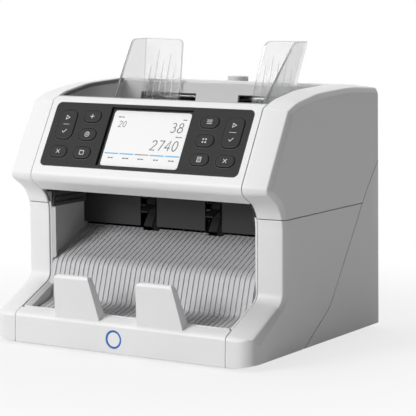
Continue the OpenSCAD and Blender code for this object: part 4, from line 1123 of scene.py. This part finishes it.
def floor_material():
    """Matte and pale, glowing up to the white of the backdrop away from the object."""
    m = bpy.data.materials.new("floor")
    m.use_nodes = True
    nt = m.node_tree
    nt.nodes.clear()
    out = nt.nodes.new("ShaderNodeOutputMaterial")
    matte = nt.nodes.new("ShaderNodeBsdfDiffuse")
    matte.inputs["Color"].default_value = (FLOOR_GREY, FLOOR_GREY, FLOOR_GREY, 1)
    glow = nt.nodes.new("ShaderNodeEmission")
    place = nt.nodes.new("ShaderNodeTexCoord")
    distance = nt.nodes.new("ShaderNodeVectorMath")
    distance.operation = "LENGTH"
    nt.links.new(place.outputs["Object"], distance.inputs[0])
    fade = nt.nodes.new("ShaderNodeMapRange")
    fade.interpolation_type = "SMOOTHSTEP"
    fade.inputs["From Min"].default_value = FADE[0]
    fade.inputs["From Max"].default_value = FADE[1]
    fade.inputs["To Min"].default_value = FLOOR_GLOW
    nt.links.new(distance.outputs["Value"], fade.inputs["Value"])
    share = nt.nodes.new("ShaderNodeMath")
    share.operation = "MULTIPLY"
    nt.links.new(fade.outputs["Result"], share.inputs[0])
    nt.links.new(seen_rays(nt), share.inputs[1])
    mix = nt.nodes.new("ShaderNodeMixShader")
    nt.links.new(share.outputs["Value"], mix.inputs["Fac"])
    nt.links.new(matte.outputs["BSDF"], mix.inputs[1])
    nt.links.new(glow.outputs["Emission"], mix.inputs[2])
    nt.links.new(mix.outputs["Shader"], out.inputs["Surface"])
    return m


def stage_plane():
    """The floor under the object."""
    corners = [(x * FLOOR_SIZE, y * FLOOR_SIZE, FLOOR_Z) for x, y in ((-1, -1), (1, -1), (1, 1), (-1, 1))]
    mesh = bpy.data.meshes.new("floor")
    mesh.from_pydata(corners, [], [(0, 1, 2, 3)])
    mesh.materials.append(floor_material())
    obj = bpy.data.objects.new("floor", mesh)
    scene.collection.objects.link(obj)
    return obj


def area(name, place, target, size, power):
    """A round lamp that looks at the target."""
    data = bpy.data.lights.new(name, "AREA")
    data.shape = "DISK"
    data.size = size
    data.energy = power
    obj = bpy.data.objects.new(name, data)
    scene.collection.objects.link(obj)
    obj.location = place
    obj.rotation_euler = (Vector(target) - Vector(place)).to_track_quat("-Z", "Y").to_euler()
    return obj


floor = stage_plane()
area("key", (-1.5, -2.5, 1.4), (0, 0, 0.1), 1.6, 72)
area("top", (-0.5, 0.2, 2.6), (0, 0, 0), 1.4, 30)
area("back", (-0.5, 2.6, 0.6), (0, 0.1, 0.1), 1.6, 20).visible_glossy = False

world = bpy.data.worlds.new("studio")
scene.world = world
world.use_nodes = True
nt = world.node_tree
bg = nt.nodes["Background"]
bg.inputs["Color"].default_value = (1, 1, 1, 1)
amount = nt.nodes.new("ShaderNodeMapRange")
amount.inputs["To Min"].default_value = WORLD_LIGHT
amount.inputs["To Max"].default_value = 1.0
nt.links.new(seen_rays(nt), amount.inputs["Value"])
nt.links.new(amount.outputs["Result"], bg.inputs["Strength"])

cam_data = bpy.data.cameras.new("camera")
cam_data.lens = LENS
cam_data.sensor_width = 36
cam_data.clip_start = 0.02
cam_data.clip_end = 50
cam = bpy.data.objects.new("camera", cam_data)
scene.collection.objects.link(cam)
cam.location = CAMERA_PLACE
cam.rotation_euler = (math.radians(90 - CAMERA_DOWN), 0, math.radians(CAMERA_TURN))
scene.camera = cam
scene.view_settings.view_transform = "Standard"
